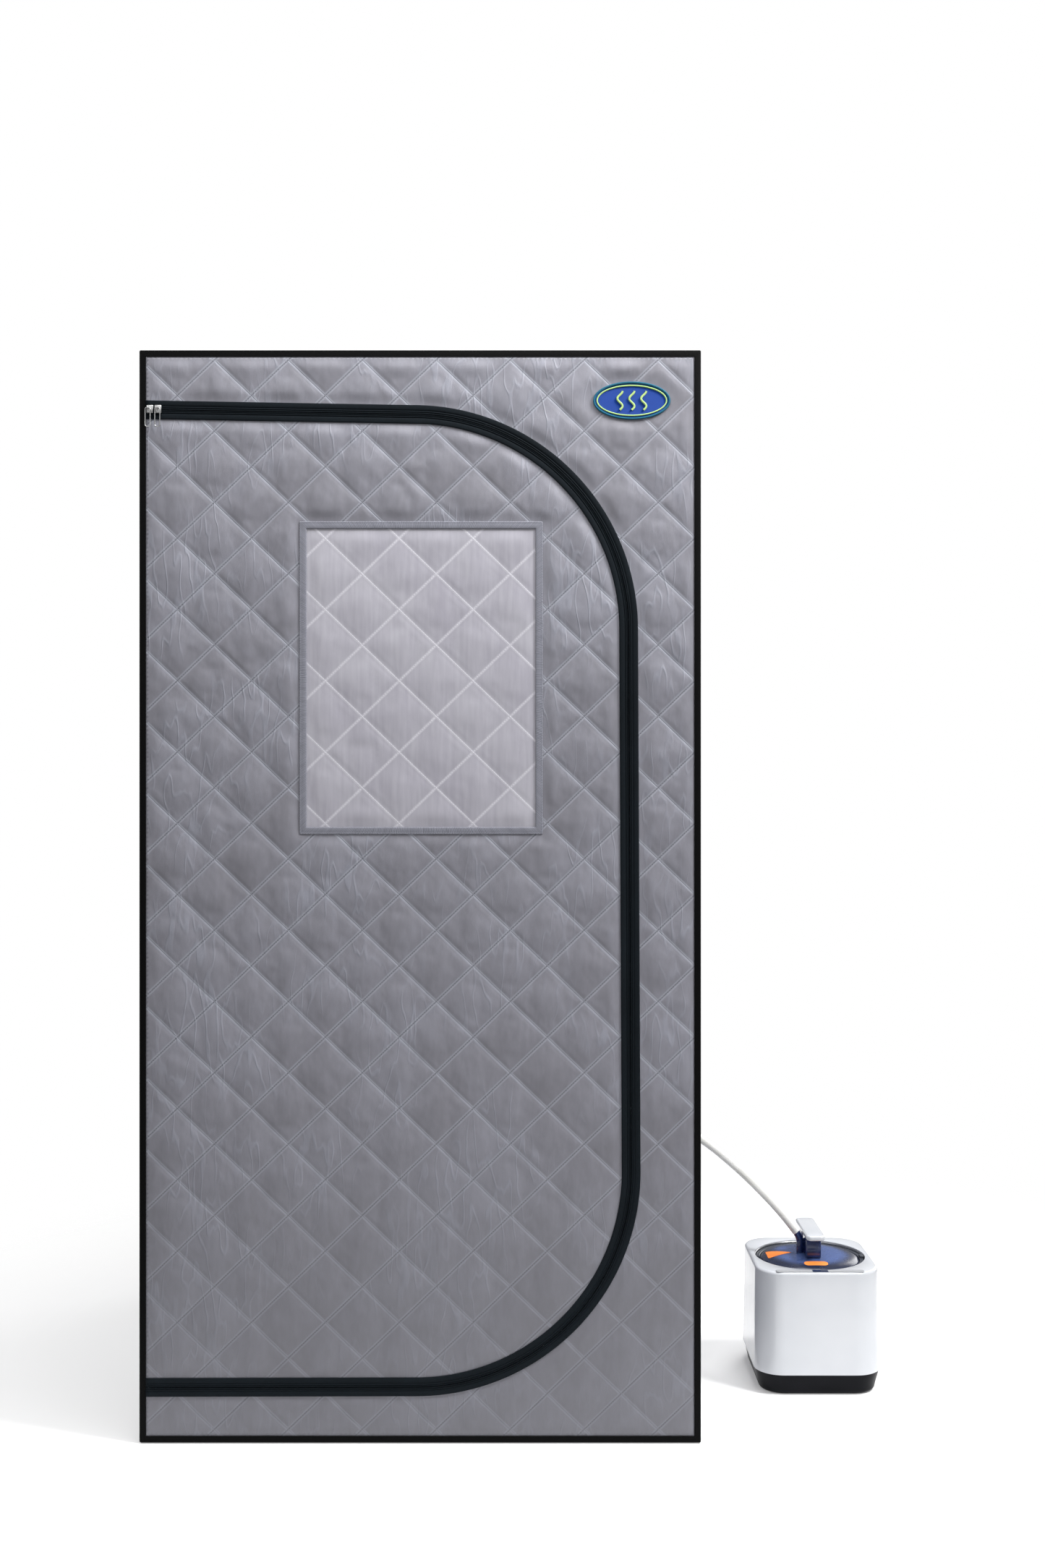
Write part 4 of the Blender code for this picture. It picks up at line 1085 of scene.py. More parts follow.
def hem_finish():
    paint = Finish("hem_cloth", Sheen_Weight=0.1, Sheen_Roughness=0.4)
    here, cloth = paint.place(), paint.cloth_place()
    wander = paint.grain(here, 90.0, 3.0)
    # the puckers' ribs: a bump, and painted light and shade in the colour
    ribs_and_painted_shading = (cloth.part(X) * (math.tau / PUCKER) + 9.0 * wander).maths("SINE")
    rough = paint.grain(paint.stretched(cloth, (500, 60, 1)), 1.0, 2.0)
    seam = (cloth.part(Y) - HEM_SEAM).maths("ABSOLUTE")
    threads = stitches(seam, cloth.part(X))
    # the ribs lighten and darken the colour: painted light and shade on the puckers
    tone = (0.3 + 0.15 * ribs_and_painted_shading + 0.5 * rough).step(0.1, 0.9)
    colour = paint.colour(tone, (0.130, 0.132, 0.158), (0.270, 0.275, 0.325))
    colour = paint.colour(threads * 0.5, colour, (0.40, 0.41, 0.48))
    return paint.feed(Base_Color=colour, Roughness=0.45 + 0.2 * paint.grain(here, 80.0),
                      Normal=paint.relief(0.25 * ribs_and_painted_shading + rough + threads, 0.30 * MM, 0.7))


def hem():
    (left, low), (right, high) = WINDOW
    width, tall = right - left, high - low
    around = 2 * (width + tall)
    corners = np.cumsum([0, width, tall, width, tall])
    cells = int(around / (PUCKER / 3))
    form = bmesh.new()
    bmesh.ops.create_grid(form, x_segments=cells, y_segments=len(HEM_SECTION) - 1, size=0.5)
    layer = form.loops.layers.uv.new(CLOTH_UV)
    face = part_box("window_hem")[HIGH].y
    for item in form.faces:
        for loop in item.loops:
            loop[layer].uv = ((loop.vert.co.x + 0.5) * around, (loop.vert.co.y + 0.5) * HEM_WIDTH)
    for vertex in form.verts:
        along = (vertex.co.x + 0.5) * around
        out, height = HEM_SECTION[round((vertex.co.y + 0.5) * (len(HEM_SECTION) - 1))]
        out *= MM
        x = np.interp(along, corners, [left - out, right + out, right + out, left - out, left - out])
        z = np.interp(along, corners, [low - out, low - out, high + out, high + out, low - out])
        ripple = 0.06 * math.sin(math.tau * along / PUCKER) + 0.25 * noise.noise(Vector((along * 90, out * 60, 1)))
        vertex.co = (x, face - (height * (1 + ripple)) * MM, z)
    bmesh.ops.remove_doubles(form, verts=form.verts, dist=0.00005)
    strip = piece_of("hem", loose_mesh(form, "hem"), hem_finish(), 70)
    thickened(strip, HEM_THICK)
    strip = dress(applied(strip), "door", "quilted_cloth", "window_hem")
    return strip


print("hem:", len(hem().data.polygons), "faces")

# %% [markdown]
# The mat is a thin padded cloth on the floor inside. Its quilting is pressed almost flat.

# %% The mat
MAT_FINE = 8
MAT_HEIGHT, MAT_THICK = 3.2 * MM, 2.6 * MM
MAT_PUFF = 0.25


def mat():
    low, high = flat_box("floor_mat", (X, Y))
    form = diagonal_sheet(low, high, (0, 0), MAT_FINE)
    stand = cushion_stand((0, 0), (low, high), shift=(4, 8))
    cloth = quilted("mat", form, (0, 0), stand, lambda x, y, h: (x, y, MAT_HEIGHT + MAT_PUFF * h), QUILT_BACK,
                    thick=MAT_THICK)
    dress(cloth, "root", "floor_cloth", "floor_mat")
    return cloth


print("mat:", len(mat().data.polygons), "faces")

# %% [markdown]
# The patch at the top right is embroidered. It is an oval field inside a light ring, with a thick overlocked
# rim. Its motif is three rising curls of steam, made as raised cords of thread.

# %% The patch
def embroidery(name, low, high, turn, spacing=0.75 * MM):
    """Close parallel threads in one direction."""
    paint = Finish(name, Specular_IOR_Level=0.15)
    here = paint.place()
    slanted = paint.stretched(here, (1, 1, 1), (0, turn, 0))
    rows = (slanted.part(X) * (math.tau / spacing)).maths("SINE")
    fuzz = paint.grain(here, 700.0, 3.0)
    tone = (0.3 + 0.2 * rows + 0.5 * fuzz).step(0.0, 1.0)
    return paint.feed(Base_Color=paint.colour(tone, low, high), Roughness=0.45 + 0.25 * fuzz,
                      Normal=paint.relief(rows + fuzz, 0.25 * MM, 0.8))


def oval_path(width, height, y, count=96):
    turns = [math.tau * i / count for i in range(count)]
    return [(BADGE_CENTRE[0] + width / 2 * math.cos(a), y,
             BADGE_CENTRE[1] + height / 2 * math.sin(a)) for a in turns]


def curl(offset, face):
    """One curl of steam, as points up the patch."""
    return [(BADGE_CENTRE[0] + offset + 0.0042 * math.sin(math.tau * t * 1.25), face,
             BADGE_CENTRE[1] - 0.0150 + 0.0300 * t) for t in [i / 20 for i in range(21)]]


def patch():
    back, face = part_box("badge")[HIGH].y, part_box("badge")[LOW].y
    field = bmesh.new()
    bmesh.ops.create_circle(field, cap_ends=True, segments=96, radius=0.5)
    bmesh.ops.scale(field, vec=(BADGE_SIZE[0] - 0.003, BADGE_SIZE[1] - 0.003, 1), verts=field.verts)
    bmesh.ops.rotate(field, cent=(0, 0, 0), matrix=Matrix.Rotation(math.pi / 2, 3, "X"), verts=field.verts)
    bmesh.ops.translate(field, vec=(BADGE_CENTRE[0], back - 0.0008, BADGE_CENTRE[1]), verts=field.verts)
    bmesh.ops.solidify(field, geom=field.faces[:], thickness=0.0007)
    blue = embroidery("patch_blue", (0.004, 0.030, 0.230), (0.012, 0.075, 0.420), 0.6)
    oval = piece_of("patch", mesh_from(field, "patch"), blue)
    dress(oval, "root", "badge", "badge")
    thread = embroidery("patch_rim", (0.004, 0.070, 0.150), (0.020, 0.170, 0.260), 0.9, 1.3 * MM)
    path = oval_path(BADGE_SIZE[0] - 0.0034, BADGE_SIZE[1] - 0.0034, back - 0.0011)
    rim = tube_along("patch_rim", path, 0.0017, thread, cyclic=True)
    thread = embroidery("patch_ring", (0.380, 0.620, 0.180), (0.620, 0.860, 0.330), 0.9)
    path = oval_path(BADGE_SIZE[0] - 0.0130, BADGE_SIZE[1] - 0.0130, face + 0.0004)
    ring = tube_along("patch_ring", path, 0.0012, thread, cyclic=True)
    steam = embroidery("patch_steam", (0.420, 0.660, 0.200), (0.660, 0.880, 0.350), 1.2)
    curls = [tube_along(f"patch_curl_{i}", curl(offset, face + 0.0004), 0.0017, steam)
             for i, offset in enumerate((-0.019, 0.0, 0.019))]
    for item in (rim, ring, *curls):
        dress(item, "root", "badge")
    return 2 + 1 + len(curls)


print("patch:", patch(), "pieces")

# %% [markdown]
# Moulded pieces share one helper. A closed outline, which may be a circle or a rounded rectangle, changes its
# size from level to level, as the slices of a real moulding do. It is a grid of cells wrapped round into a
# tube: one row of cells for each step between two levels.

# %% Wrap an outline through levels
def outline(width, depth, corner, count):
    """Evenly spaced points round a rounded rectangle, from the middle of its right side. It is a circle when
    the corner is half the width."""
    straight = (max(depth - 2 * corner, 0), max(width - 2 * corner, 0))
    bend = corner * math.pi / 2
    total = 2 * sum(straight) + 4 * bend
    points = []
    for i in range(count):
        left = (total * i / count + straight[0] / 2) % total
        x, y, angle = width / 2, -straight[0] / 2, 0.0
        for side in range(4):
            run = straight[side % 2]
            if left <= run:
                break
            x, y = x - run * math.sin(angle), y + run * math.cos(angle)
            left -= run
            run = 0
            if left <= bend:
                break
            middle = (x - corner * math.cos(angle), y - corner * math.sin(angle))
            angle += math.pi / 2
            x, y = middle[0] + corner * math.cos(angle), middle[1] + corner * math.sin(angle)
            left -= bend
        if run:
            points.append((x - left * math.sin(angle), y + left * math.cos(angle)))
        else:
            middle = (x - corner * math.cos(angle), y - corner * math.sin(angle))
            turn = angle + (left / corner if corner else 0)
            points.append((middle[0] + corner * math.cos(turn), middle[1] + corner * math.sin(turn)))
    return points


def wrapped(name, levels, material, centre=(0, 0, 0), turn=None, count=128, ring=True, smooth_angle=35):
    """A moulding from levels of (width, depth, corner, height). A ring joins its last level to its first."""
    if ring:
        levels = [*levels, levels[0]]
    form = bmesh.new()
    bmesh.ops.create_grid(form, x_segments=count, y_segments=len(levels) - 1, size=0.5)
    rows = [outline(max(w, 1e-7), max(d, 1e-7), min(c, w / 2, d / 2), count) for w, d, c, _ in levels]
    for vertex in form.verts:
        column = round((vertex.co.x + 0.5) * count) % count
        row = round((vertex.co.y + 0.5) * (len(levels) - 1))
        vertex.co = (*rows[row][column], levels[row][3])
    bmesh.ops.remove_doubles(form, verts=form.verts, dist=0.000005)
    bmesh.ops.transform(form, matrix=Matrix.Translation(centre) @ (turn or Matrix.Identity(4)), verts=form.verts)
    return piece_of(name, mesh_from(form, name), material, smooth_angle)


def rounding(width, depth, corner, height, radius, up=True, steps=6):
    """The levels of a rounded edge, going in and up, or in and down."""
    way = 1 if up else -1
    levels = []
    for i in range(steps + 1):
        angle = math.pi / 2 * i / steps
        inset = radius * (1 - math.cos(angle))
        levels.append((width - 2 * inset, depth - 2 * inset, max(corner - inset, 0.0005),
                       height - way * radius * (1 - math.sin(angle))))
    return levels


print("moulding helpers ready")

# %% [markdown]
# The steamer's plastics differ mostly in gloss. The shell is bright white with a hard shine, the base is a
# satin black, and the lid is clear blue plastic that looks nearly black towards its rim, where you look
# through more of it.

# %% Plastics
def plastic(name, low, high, shine, relief=0.02 * MM, **constants):
    """A moulded plastic: a little cloudy, with a fine orange-peel skin, and duller in places."""
    paint = Finish(name, **constants)
    here = paint.place()
    cloudy = paint.grain(here, 9.0, 2.0)
    skin = paint.grain(here, 260.0, 2.0)
    smears = paint.grain(here, 30.0, 4.0, 0.6)
    return paint.feed(Base_Color=paint.colour(cloudy.step(0.25, 0.75), low, high),
                      Roughness=shine + 0.10 * smears, Normal=paint.relief(skin, relief, 0.5))


STEAMER = ((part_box("steamer_shell")[LOW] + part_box("steamer_shell")[HIGH]) / 2).to_2d()


def lid_finish():
    paint = Finish("blue_lid", Coat_Weight=0.15, Coat_Roughness=0.2, Transmission_Weight=0.25, IOR=1.5)
    here = paint.place()
    across, up = here.part(X) - STEAMER.x, here.part(Y) - STEAMER.y
    radius = (across ** 2.0 + up ** 2.0) ** 0.5
    cloudy = paint.grain(here, 18.0, 2.0)
    middle = (radius + 0.010 * cloudy).step(0.082, 0.058)
    colour = paint.colour(middle, (0.012, 0.019, 0.052), (0.085, 0.138, 0.345))
    shine = 0.24 + 0.08 * paint.grain(here, 60.0, 3.0)
    return paint.feed(Base_Color=colour, Roughness=shine, Normal=paint.relief(cloudy, 0.2 * MM, 0.3))


def strip_finish():
    paint = Finish("control_strip", Coat_Weight=0.5, Coat_Roughness=0.05)
    here = paint.place()
    across = (here.part(X) - STEAMER.x).maths("ABSOLUTE")
    cloudy = paint.grain(here, 35.0, 2.0)
    ends = paint.colour(cloudy, (0.360, 0.370, 0.390), (0.470, 0.480, 0.500))
    colour = paint.colour((across + 0.002 * cloudy).step(0.0155, 0.0135), ends, (0.020, 0.032, 0.080))
    return paint.feed(Base_Color=colour, Roughness=0.12 + 0.1 * cloudy, Normal=paint.relief(cloudy, 0.1 * MM, 0.3))


def metal(name, low, high, shine, stretch=(1, 1, 40), scale=30.0):
    """Drawn or brushed metal, with fine lines across it."""
    paint = Finish(name, Metallic=1.0)
    here = paint.place()
    lines = paint.grain(paint.stretched(here, stretch), scale, 3.0)
    marks = paint.grain(here, 25.0, 3.0)
    return paint.feed(Base_Color=paint.colour(marks, low, high), Roughness=shine + 0.15 * lines + 0.08 * marks,
                      Normal=paint.relief(lines, 0.03 * MM, 0.4))


WHITE = plastic("white_shell", (0.57, 0.59, 0.625), (0.63, 0.645, 0.675), 0.14, Coat_Weight=0.5,
                Coat_Roughness=0.08)
BLACK = plastic("black_base", (0.003, 0.0035, 0.005), (0.007, 0.0075, 0.010), 0.32, 0.04 * MM,
                Specular_IOR_Level=0.09)
RING_GREY = plastic("ring_grey", (0.035, 0.040, 0.052), (0.060, 0.066, 0.080), 0.28)
BLUE_BLOCK = plastic("blue_block", (0.016, 0.030, 0.120), (0.036, 0.062, 0.210), 0.06, Transmission_Weight=0.35,
                     IOR=1.5, Coat_Weight=0.4, Coat_Roughness=0.04)
FITTING = plastic("frame_fitting", (0.016, 0.016, 0.018), (0.032, 0.032, 0.035), 0.36)
GASKET = plastic("seal_rubber", (0.62, 0.62, 0.60), (0.70, 0.70, 0.68), 0.50)
ORANGE = plastic("orange_label", (0.82, 0.22, 0.035), (0.92, 0.30, 0.06), 0.32)
BOARD = plastic("circuit_board", (0.012, 0.12, 0.05), (0.02, 0.20, 0.08), 0.35)
STEEL = metal("tank_steel", (0.50, 0.51, 0.52), (0.66, 0.67, 0.68), 0.16)
TUBE_STEEL = metal("frame_tube", (0.55, 0.56, 0.57), (0.70, 0.71, 0.72), 0.18, (1, 1, 1), 60.0)
ZIP_METAL = metal("zip_metal", (0.34, 0.34, 0.34), (0.52, 0.52, 0.52), 0.22, (1, 1, 1), 200.0)
HEATER = metal("heater_metal", (0.40, 0.38, 0.36), (0.52, 0.50, 0.47), 0.30)
LID_BLUE = lid_finish()
STRIP = strip_finish()
print("plastics and metals ready")

# %% [markdown]
# The shell is a rounded square that narrows a little towards the top, with a round mouth for the lid. Going
# up its outside, over the top edge, in to the mouth and down its inside is one closed walk, so the wall has a
# true thickness. The base is made in the same way.

# %% The shell and the base
HERE = (STEAMER.x, STEAMER.y, 0)
SHELL_Z = (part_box("steamer_shell")[LOW].z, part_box("steamer_shell")[HIGH].z)
SHELL_FOOT, SHELL_HEAD = (0.220, 0.236), (0.214, 0.230)
SHELL_CORNER, SHELL_WALL, SHELL_ROUND = 0.048, 0.0025, 0.0055
MOUTH = 0.194


def between(low, high, share):
    return [a + (b - a) * share for a, b in zip(low, high)]


def shell():
    shoulder = SHELL_Z[1] - SHELL_ROUND
    levels = [(*SHELL_FOOT, SHELL_CORNER, SHELL_Z[0] + 0.0004)]
    levels += [(*between(SHELL_FOOT, SHELL_HEAD, i / 8), SHELL_CORNER, between([SHELL_Z[0]], [shoulder], i / 8)[0])
               for i in range(1, 8)]
    levels += rounding(*SHELL_HEAD, SHELL_CORNER, SHELL_Z[1], SHELL_ROUND, steps=8)
    levels += [(MOUTH + 0.003, MOUTH + 0.003, MOUTH / 2 + 0.0015, SHELL_Z[1]),
               (MOUTH + 0.0008, MOUTH + 0.0008, MOUTH / 2 + 0.0004, SHELL_Z[1] - 0.0004),
               (MOUTH, MOUTH, MOUTH / 2, SHELL_Z[1] - 0.0014), (MOUTH, MOUTH, MOUTH / 2, SHELL_Z[1] - SHELL_WALL)]
    inner = [size - 2 * SHELL_WALL for size in SHELL_HEAD]
    levels += [(*inner, SHELL_CORNER - SHELL_WALL, SHELL_Z[1] - SHELL_WALL),
               (*(size - 2 * SHELL_WALL for size in SHELL_FOOT), SHELL_CORNER - SHELL_WALL, SHELL_Z[0])]
    levels += [(*(size - 0.0008 for size in SHELL_FOOT), SHELL_CORNER - 0.0004, SHELL_Z[0])]
    return wrapped("shell", levels, WHITE, HERE, count=160, smooth_angle=30)


def base():
    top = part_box("steamer_base")[HIGH].z
    foot, head, corner = (0.200, 0.216), (0.216, 0.232), 0.042
    lower = between(foot, head, 0.008 / top)
    levels = [(head[0] - 0.006, head[1] - 0.006, corner - 0.003, top),
              (head[0] - 0.0008, head[1] - 0.0008, corner, top),
              (*head, corner, top - 0.0005), (*between(foot, head, 0.6), corner, 0.6 * top)]
    levels += rounding(*lower, corner, 0.0, 0.008, up=False, steps=8)
    levels += [(0, 0, 0, 0.0), (0, 0, 0, 0.003), (foot[0] - 0.012, foot[1] - 0.012, corner - 0.006, 0.003)]
    return wrapped("base", levels, BLACK, HERE, count=160, smooth_angle=30)


dress(shell(), "root", "white_shell", "steamer_shell")
dress(base(), "root", "black_base", "steamer_base")
print("shell and base:", [round(v, 4) for v in SHELL_Z])

# %% [markdown]
# The lid, its locking ring and the tank under it are turned about the mouth's centre. The lid's dome is a
# smooth curve through a few radii and heights.

# %% Turned pieces
def smooth_profile(points, count):
    return [(p.x, p.y) for p in flowing([(r, z, 0) for r, z in points], count)]


CROWN = smooth_profile([(0.0, 0.2160), (0.0250, 0.21585), (0.0460, 0.21525), (0.0640, 0.21360), (0.0780, 0.21090),
                        (0.0850, 0.20770), (0.0876, 0.20450), (0.0880, 0.20150), (0.0880, 0.1990)], 48)


def dome_height(radius):
    return float(np.interp(radius, [r for r, _ in CROWN[:40]], [z for _, z in CROWN[:40]]))


def lid():
    under = smooth_profile([(0.0858, 0.1990), (0.0856, 0.2030), (0.0800, 0.2075), (0.0640, 0.2110),
                            (0.0460, 0.2128), (0.0250, 0.2134), (0.0, 0.21345)], 24)
    return spun("lid_dome", CROWN + under, LID_BLUE, HERE, steps=160, smooth_angle=60)


def lock_ring():
    outer, inner, low, high, edge = 0.0955, 0.0884, 0.1975, 0.2070, 0.0008
    profile = [(inner + edge, low), (outer - edge, low), (outer, low + edge), (outer, high - edge),
               (outer - edge, high), (inner + edge, high), (inner, high - edge), (inner, low + edge)]
    ring = spun("locking_ring", profile, RING_GREY, HERE, steps=160)
    form = bmesh.new()
    form.from_mesh(ring.data)
    for way in (-1, 1):
        near, far = sorted((way * 0.0890, way * 0.0950))
        tab = rounded_box((STEAMER.x + near, STEAMER.y - 0.007, 0.2064),
                          (STEAMER.x + far, STEAMER.y + 0.007, 0.2112), edge)
        tab.to_mesh(scrap := bpy.data.meshes.new("scrap"))
        form.from_mesh(scrap)
        tab.free()
        bpy.data.meshes.remove(scrap)
    form.to_mesh(ring.data)
    form.free()
    ring.data.shade_smooth()
    ring.data.set_sharp_from_angle(angle=math.radians(35))
    return ring


def tank():
    profile = [(0.0, 0.0480), (0.0725, 0.0480), (0.0750, 0.0488), (0.0760, 0.0512), (0.0760, 0.1925),
               (0.0790, 0.1955), (0.0955, 0.1955), (0.0965, 0.1965), (0.0965, 0.2091), (0.0969, 0.2095),
               (0.0986, 0.2095), (0.0990, 0.2091), (0.0990, 0.1935), (0.0780, 0.1900), (0.0780, 0.0500),
               (0.0740, 0.0460), (0.0, 0.0460)]
    return spun("tank", profile, STEEL, HERE, steps=128)


dress(lid(), "lid", "blue_lid", "lid")
dress(lock_ring(), "lock_ring", "black_base", "lock_ring")
dress(tank(), "root", "tank_steel", "water_tank")
print("turned pieces ready")

# %% [markdown]
# The handle is a clear blue block with a white cap across it, and the steam pipe rises out of a notch in the
# block's left side and leans over to meet the hose.

# %% The handle and the steam pipe
CAP_LOW, CAP_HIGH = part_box("handle_cap")
BLOCK_LOW, BLOCK_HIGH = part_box("handle_block")
PIPE_RADIUS = 0.0062
PIPE_FOOT = Vector((0.6615, STEAMER.y, 0.2164))


def handle_cap():
    size = CAP_HIGH - CAP_LOW
    levels = [(0, 0, 0, CAP_LOW.z)]
    levels += rounding(size.x, size.y, 0.009, CAP_LOW.z, 0.003, up=False)[::-1]
    levels += rounding(size.x, size.y, 0.009, CAP_HIGH.z, 0.0035)
    levels += [(size.x * 0.4, size.y * 0.6, 0.004, CAP_HIGH.z), (0, 0, 0, CAP_HIGH.z)]
    middle = (CAP_LOW + CAP_HIGH) / 2
    return wrapped("cap", levels, WHITE, (middle.x, middle.y, 0), ring=False)


def handle_block():
    form = rounded_box(BLOCK_LOW, BLOCK_HIGH, 0.0022, 4)
    block = piece_of("block", mesh_from(form, "block"), BLUE_BLOCK)
    cutter = bmesh.new()
    bmesh.ops.create_cone(cutter, cap_ends=True, segments=48, radius1=PIPE_RADIUS + 0.0006,
                          radius2=PIPE_RADIUS + 0.0006, depth=0.08)
    bmesh.ops.translate(cutter, vec=(PIPE_FOOT.x, PIPE_FOOT.y, 0.235), verts=cutter.verts)
    notch = piece_of("notch", mesh_from(cutter, "notch"), BLUE_BLOCK)
    cut = block.modifiers.new("notch", "BOOLEAN")
    cut.object, cut.operation, cut.solver = notch, "DIFFERENCE", "EXACT"
    block = applied(block)
    bpy.data.objects.remove(notch, do_unlink=True)
    block.data.shade_smooth()
    block.data.set_sharp_from_angle(angle=math.radians(35))
    return block


def steam_pipe():
    way = (Vector(HOSE_ROUTE[1]) - Vector(HOSE_ROUTE[0])).normalized()
    mouth = Vector(HOSE_ROUTE[0]) - way * 0.0004
    route = [PIPE_FOOT, PIPE_FOOT + Vector((0, 0, 0.011)), PIPE_FOOT + Vector((0, 0, 0.019)),
             PIPE_FOOT + Vector((-0.0012, 0, 0.026)), mouth]
    return tube_along("steam_pipe", flowing(route, 24), PIPE_RADIUS, BLUE_BLOCK, sides=32)


dress(handle_cap(), "lid", "white_shell", "handle_cap")
dress(handle_block(), "lid", "blue_lid", "handle_block")
dress(steam_pipe(), "lid", "blue_lid", "steam_outlet")
print("handle:", [round(v, 4) for v in CAP_HIGH - CAP_LOW])

# %% [markdown]
# Small pieces finish the steamer: the glossy strip of touch controls, the mains inlet at the back with its
# three pins, and the orange stickers, which are plain shapes here. A sticker is a fan of rings laid onto the
# dome of the lid.

# %% Small pieces of the steamer
def control_strip():
    low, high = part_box("control_strip")
    size, middle = high - low, (low + high) / 2
    levels = [(size.x, size.y, 0.0045, low.z)] + rounding(size.x, size.y, 0.0045, high.z, 0.0005, steps=4)
    levels += [(size.x * 0.5, size.y * 0.4, 0.001, high.z), (0, 0, 0, high.z), (0, 0, 0, low.z)]
    return wrapped("touch_strip", levels, STRIP, (middle.x, middle.y, 0))


def inlet():
    low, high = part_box("power_inlet")
    size, middle = high - low, (low + high) / 2
    wide, tall, deep = size.x, size.z, size.y
    levels = [(0, 0, 0, -deep), (wide, tall, 0.001, -deep), (wide, tall, 0.001, -0.0006),
              (wide - 0.0012, tall - 0.0012, 0.001, 0.0), (wide - 0.0040, tall - 0.0050, 0.0030, 0.0),
              (wide - 0.0044, tall - 0.0054, 0.0030, -0.015), (0, 0, 0, -0.015)]
    turn = Matrix.Rotation(-math.pi / 2, 4, "X")
    body = wrapped("inlet", levels, BLACK, (middle.x, high.y, middle.z), turn, count=64, ring=False)
    dress(body, "root", "black_base", "power_inlet")
    for number, (x, z) in enumerate(((-0.0070, -0.0015), (0.0070, -0.0015), (0.0, 0.0030))):
        start = Vector((middle.x + x, high.y - 0.0145, middle.z + z))
        form = rounded_box(start - Vector((0.001, 0, 0.002)), start + Vector((0.001, 0.011, 0.002)), 0.0004, 2)
        dress(piece_of(f"inlet_pin_{number}", mesh_from(form, "pin"), STEEL), "root", "tank_steel")


def port():
    """The grommet in the right wall that the hose goes through."""
    low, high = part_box("hose_port")
    face = high.x - 0.0022
    profile = [(0.0160, 0.0022), (0.0172, 0.0020), (0.0240, 0.0013), (0.0250, 0.0008), (0.0250, 0.0),
               (0.0138, 0.0), (0.0138, low.x - face), (0.0120, low.x - face), (0.0120, 0.0014), (0.0130, 0.0022)]
    ring = spun("port", profile, FITTING, (0, 0, 0), steps=96)
    ring.data.transform(Matrix.Translation((face, PORT[Y], PORT[Z])) @ Matrix.Rotation(math.pi / 2, 4, "Y"))
    return dress(ring, "root", "frame_fitting", "hose_port")


def sticker(name, edge, centre, node):
    """A thin label that follows the lid's dome. Edge is its outline round its own centre."""
    rings = 8
    form = bmesh.new()
    bmesh.ops.create_grid(form, x_segments=len(edge), y_segments=rings, size=0.5)
    for vertex in form.verts:
        x, y = edge[round((vertex.co.x + 0.5) * len(edge)) % len(edge)]
        share = 1 - round((vertex.co.y + 0.5) * rings) / rings
        place = Vector((centre[0] + x * share, centre[1] + y * share))
        vertex.co = (STEAMER.x + place.x, STEAMER.y + place.y, dome_height(place.length) + 0.0004)
    bmesh.ops.remove_doubles(form, verts=form.verts, dist=0.000005)
    bmesh.ops.recalc_face_normals(form, faces=form.faces)
    form.normal_update()
    if sum((face.normal for face in form.faces), Vector()).z < 0:
        bmesh.ops.reverse_faces(form, faces=form.faces)
    bmesh.ops.solidify(form, geom=form.faces[:], thickness=0.00025)
    return dress(piece_of(name, mesh_from(form, name), ORANGE), "lid", "orange_label", node)


def left_label():
    corners = [Vector((-0.0230, 0.0215)), Vector((-0.0230, -0.0215)), Vector((0.0240, 0.0))]
    edge = []
    for i in range(3):
        here, before, after = corners[i], corners[i - 1], corners[(i + 1) % 3]
        start, end = here.lerp(before, 0.12), here.lerp(after, 0.12)
        edge += [tuple(start.lerp(here, t).lerp(here.lerp(end, t), t)) for t in (0.0, 0.25, 0.5, 0.75, 1.0)]
        edge += [tuple(end.lerp(after.lerp(here, 0.12), t)) for t in (0.2, 0.4, 0.6, 0.8)]
    return sticker("left_label", edge, (-0.0540, -0.0010), "lid_label_left")


def front_label():
    return sticker("front_label", outline(0.0420, 0.0170, 0.0080, 64), (0.0010, -0.0625), "lid_label_front")


def refinish(material, *nodes):
    """A CAD node whose shape is right only gets a better finish."""
    for name in nodes:
        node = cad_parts[name]
        if not node.material_slots:
            node.data.materials.append(material)
        for place in node.material_slots:
            place.material = material


dress(control_strip(), "root", "control_strip", "control_strip")
inlet()
port()
left_label()
front_label()
refinish(GASKET, "lid_gasket")
refinish(WHITE, "steam_diffuser")
refinish(HEATER, "heater_plate")
refinish(BOARD, "control_board")
print("small pieces ready")

# %% [markdown]
# The zip has two sliders, one for each way, and each has a bent wire loop to pull it by. A slider is a small
# rounded casting with a wire bridge that holds the loop.

# %% Sliders and pulls
WIRE, BRIDGE_WIRE = 0.8 * MM, 0.7 * MM
SLIDER_DEPTH, SLIDER_EDGE = 4.4 * MM, 1.3 * MM
PULL_CORNER = 2.6 * MM


def slider(side):
    low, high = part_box(f"zip_slider_{side}")
    pull_low, pull_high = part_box(f"zip_pull_{side}")
    front = high.y - SLIDER_DEPTH
    form = rounded_box((low.x, front, low.z), high, SLIDER_EDGE, 4)
    body = piece_of(f"slider_{side}", mesh_from(form, "slider"), ZIP_METAL)
    dress(body, f"slider_{side}", "zip_metal", f"zip_slider_{side}")
    hook = (pull_low.y + pull_high.y) / 2 - 0.0016
    top = pull_high.z + 0.0012
    across = (pull_low.x + pull_high.x) / 2
    arch = [(across, front + 0.0008, top), (across, hook + 0.0010, top - 0.0002), (across, hook, top - 0.0014),
            (across, hook + 0.0006, top - 0.0040), (across, front + 0.0008, top - 0.0066)]
    bridge = tube_along(f"bridge_{side}", flowing(arch, 20), BRIDGE_WIRE, ZIP_METAL, sides=12)
    return dress(bridge, f"slider_{side}", "zip_metal")


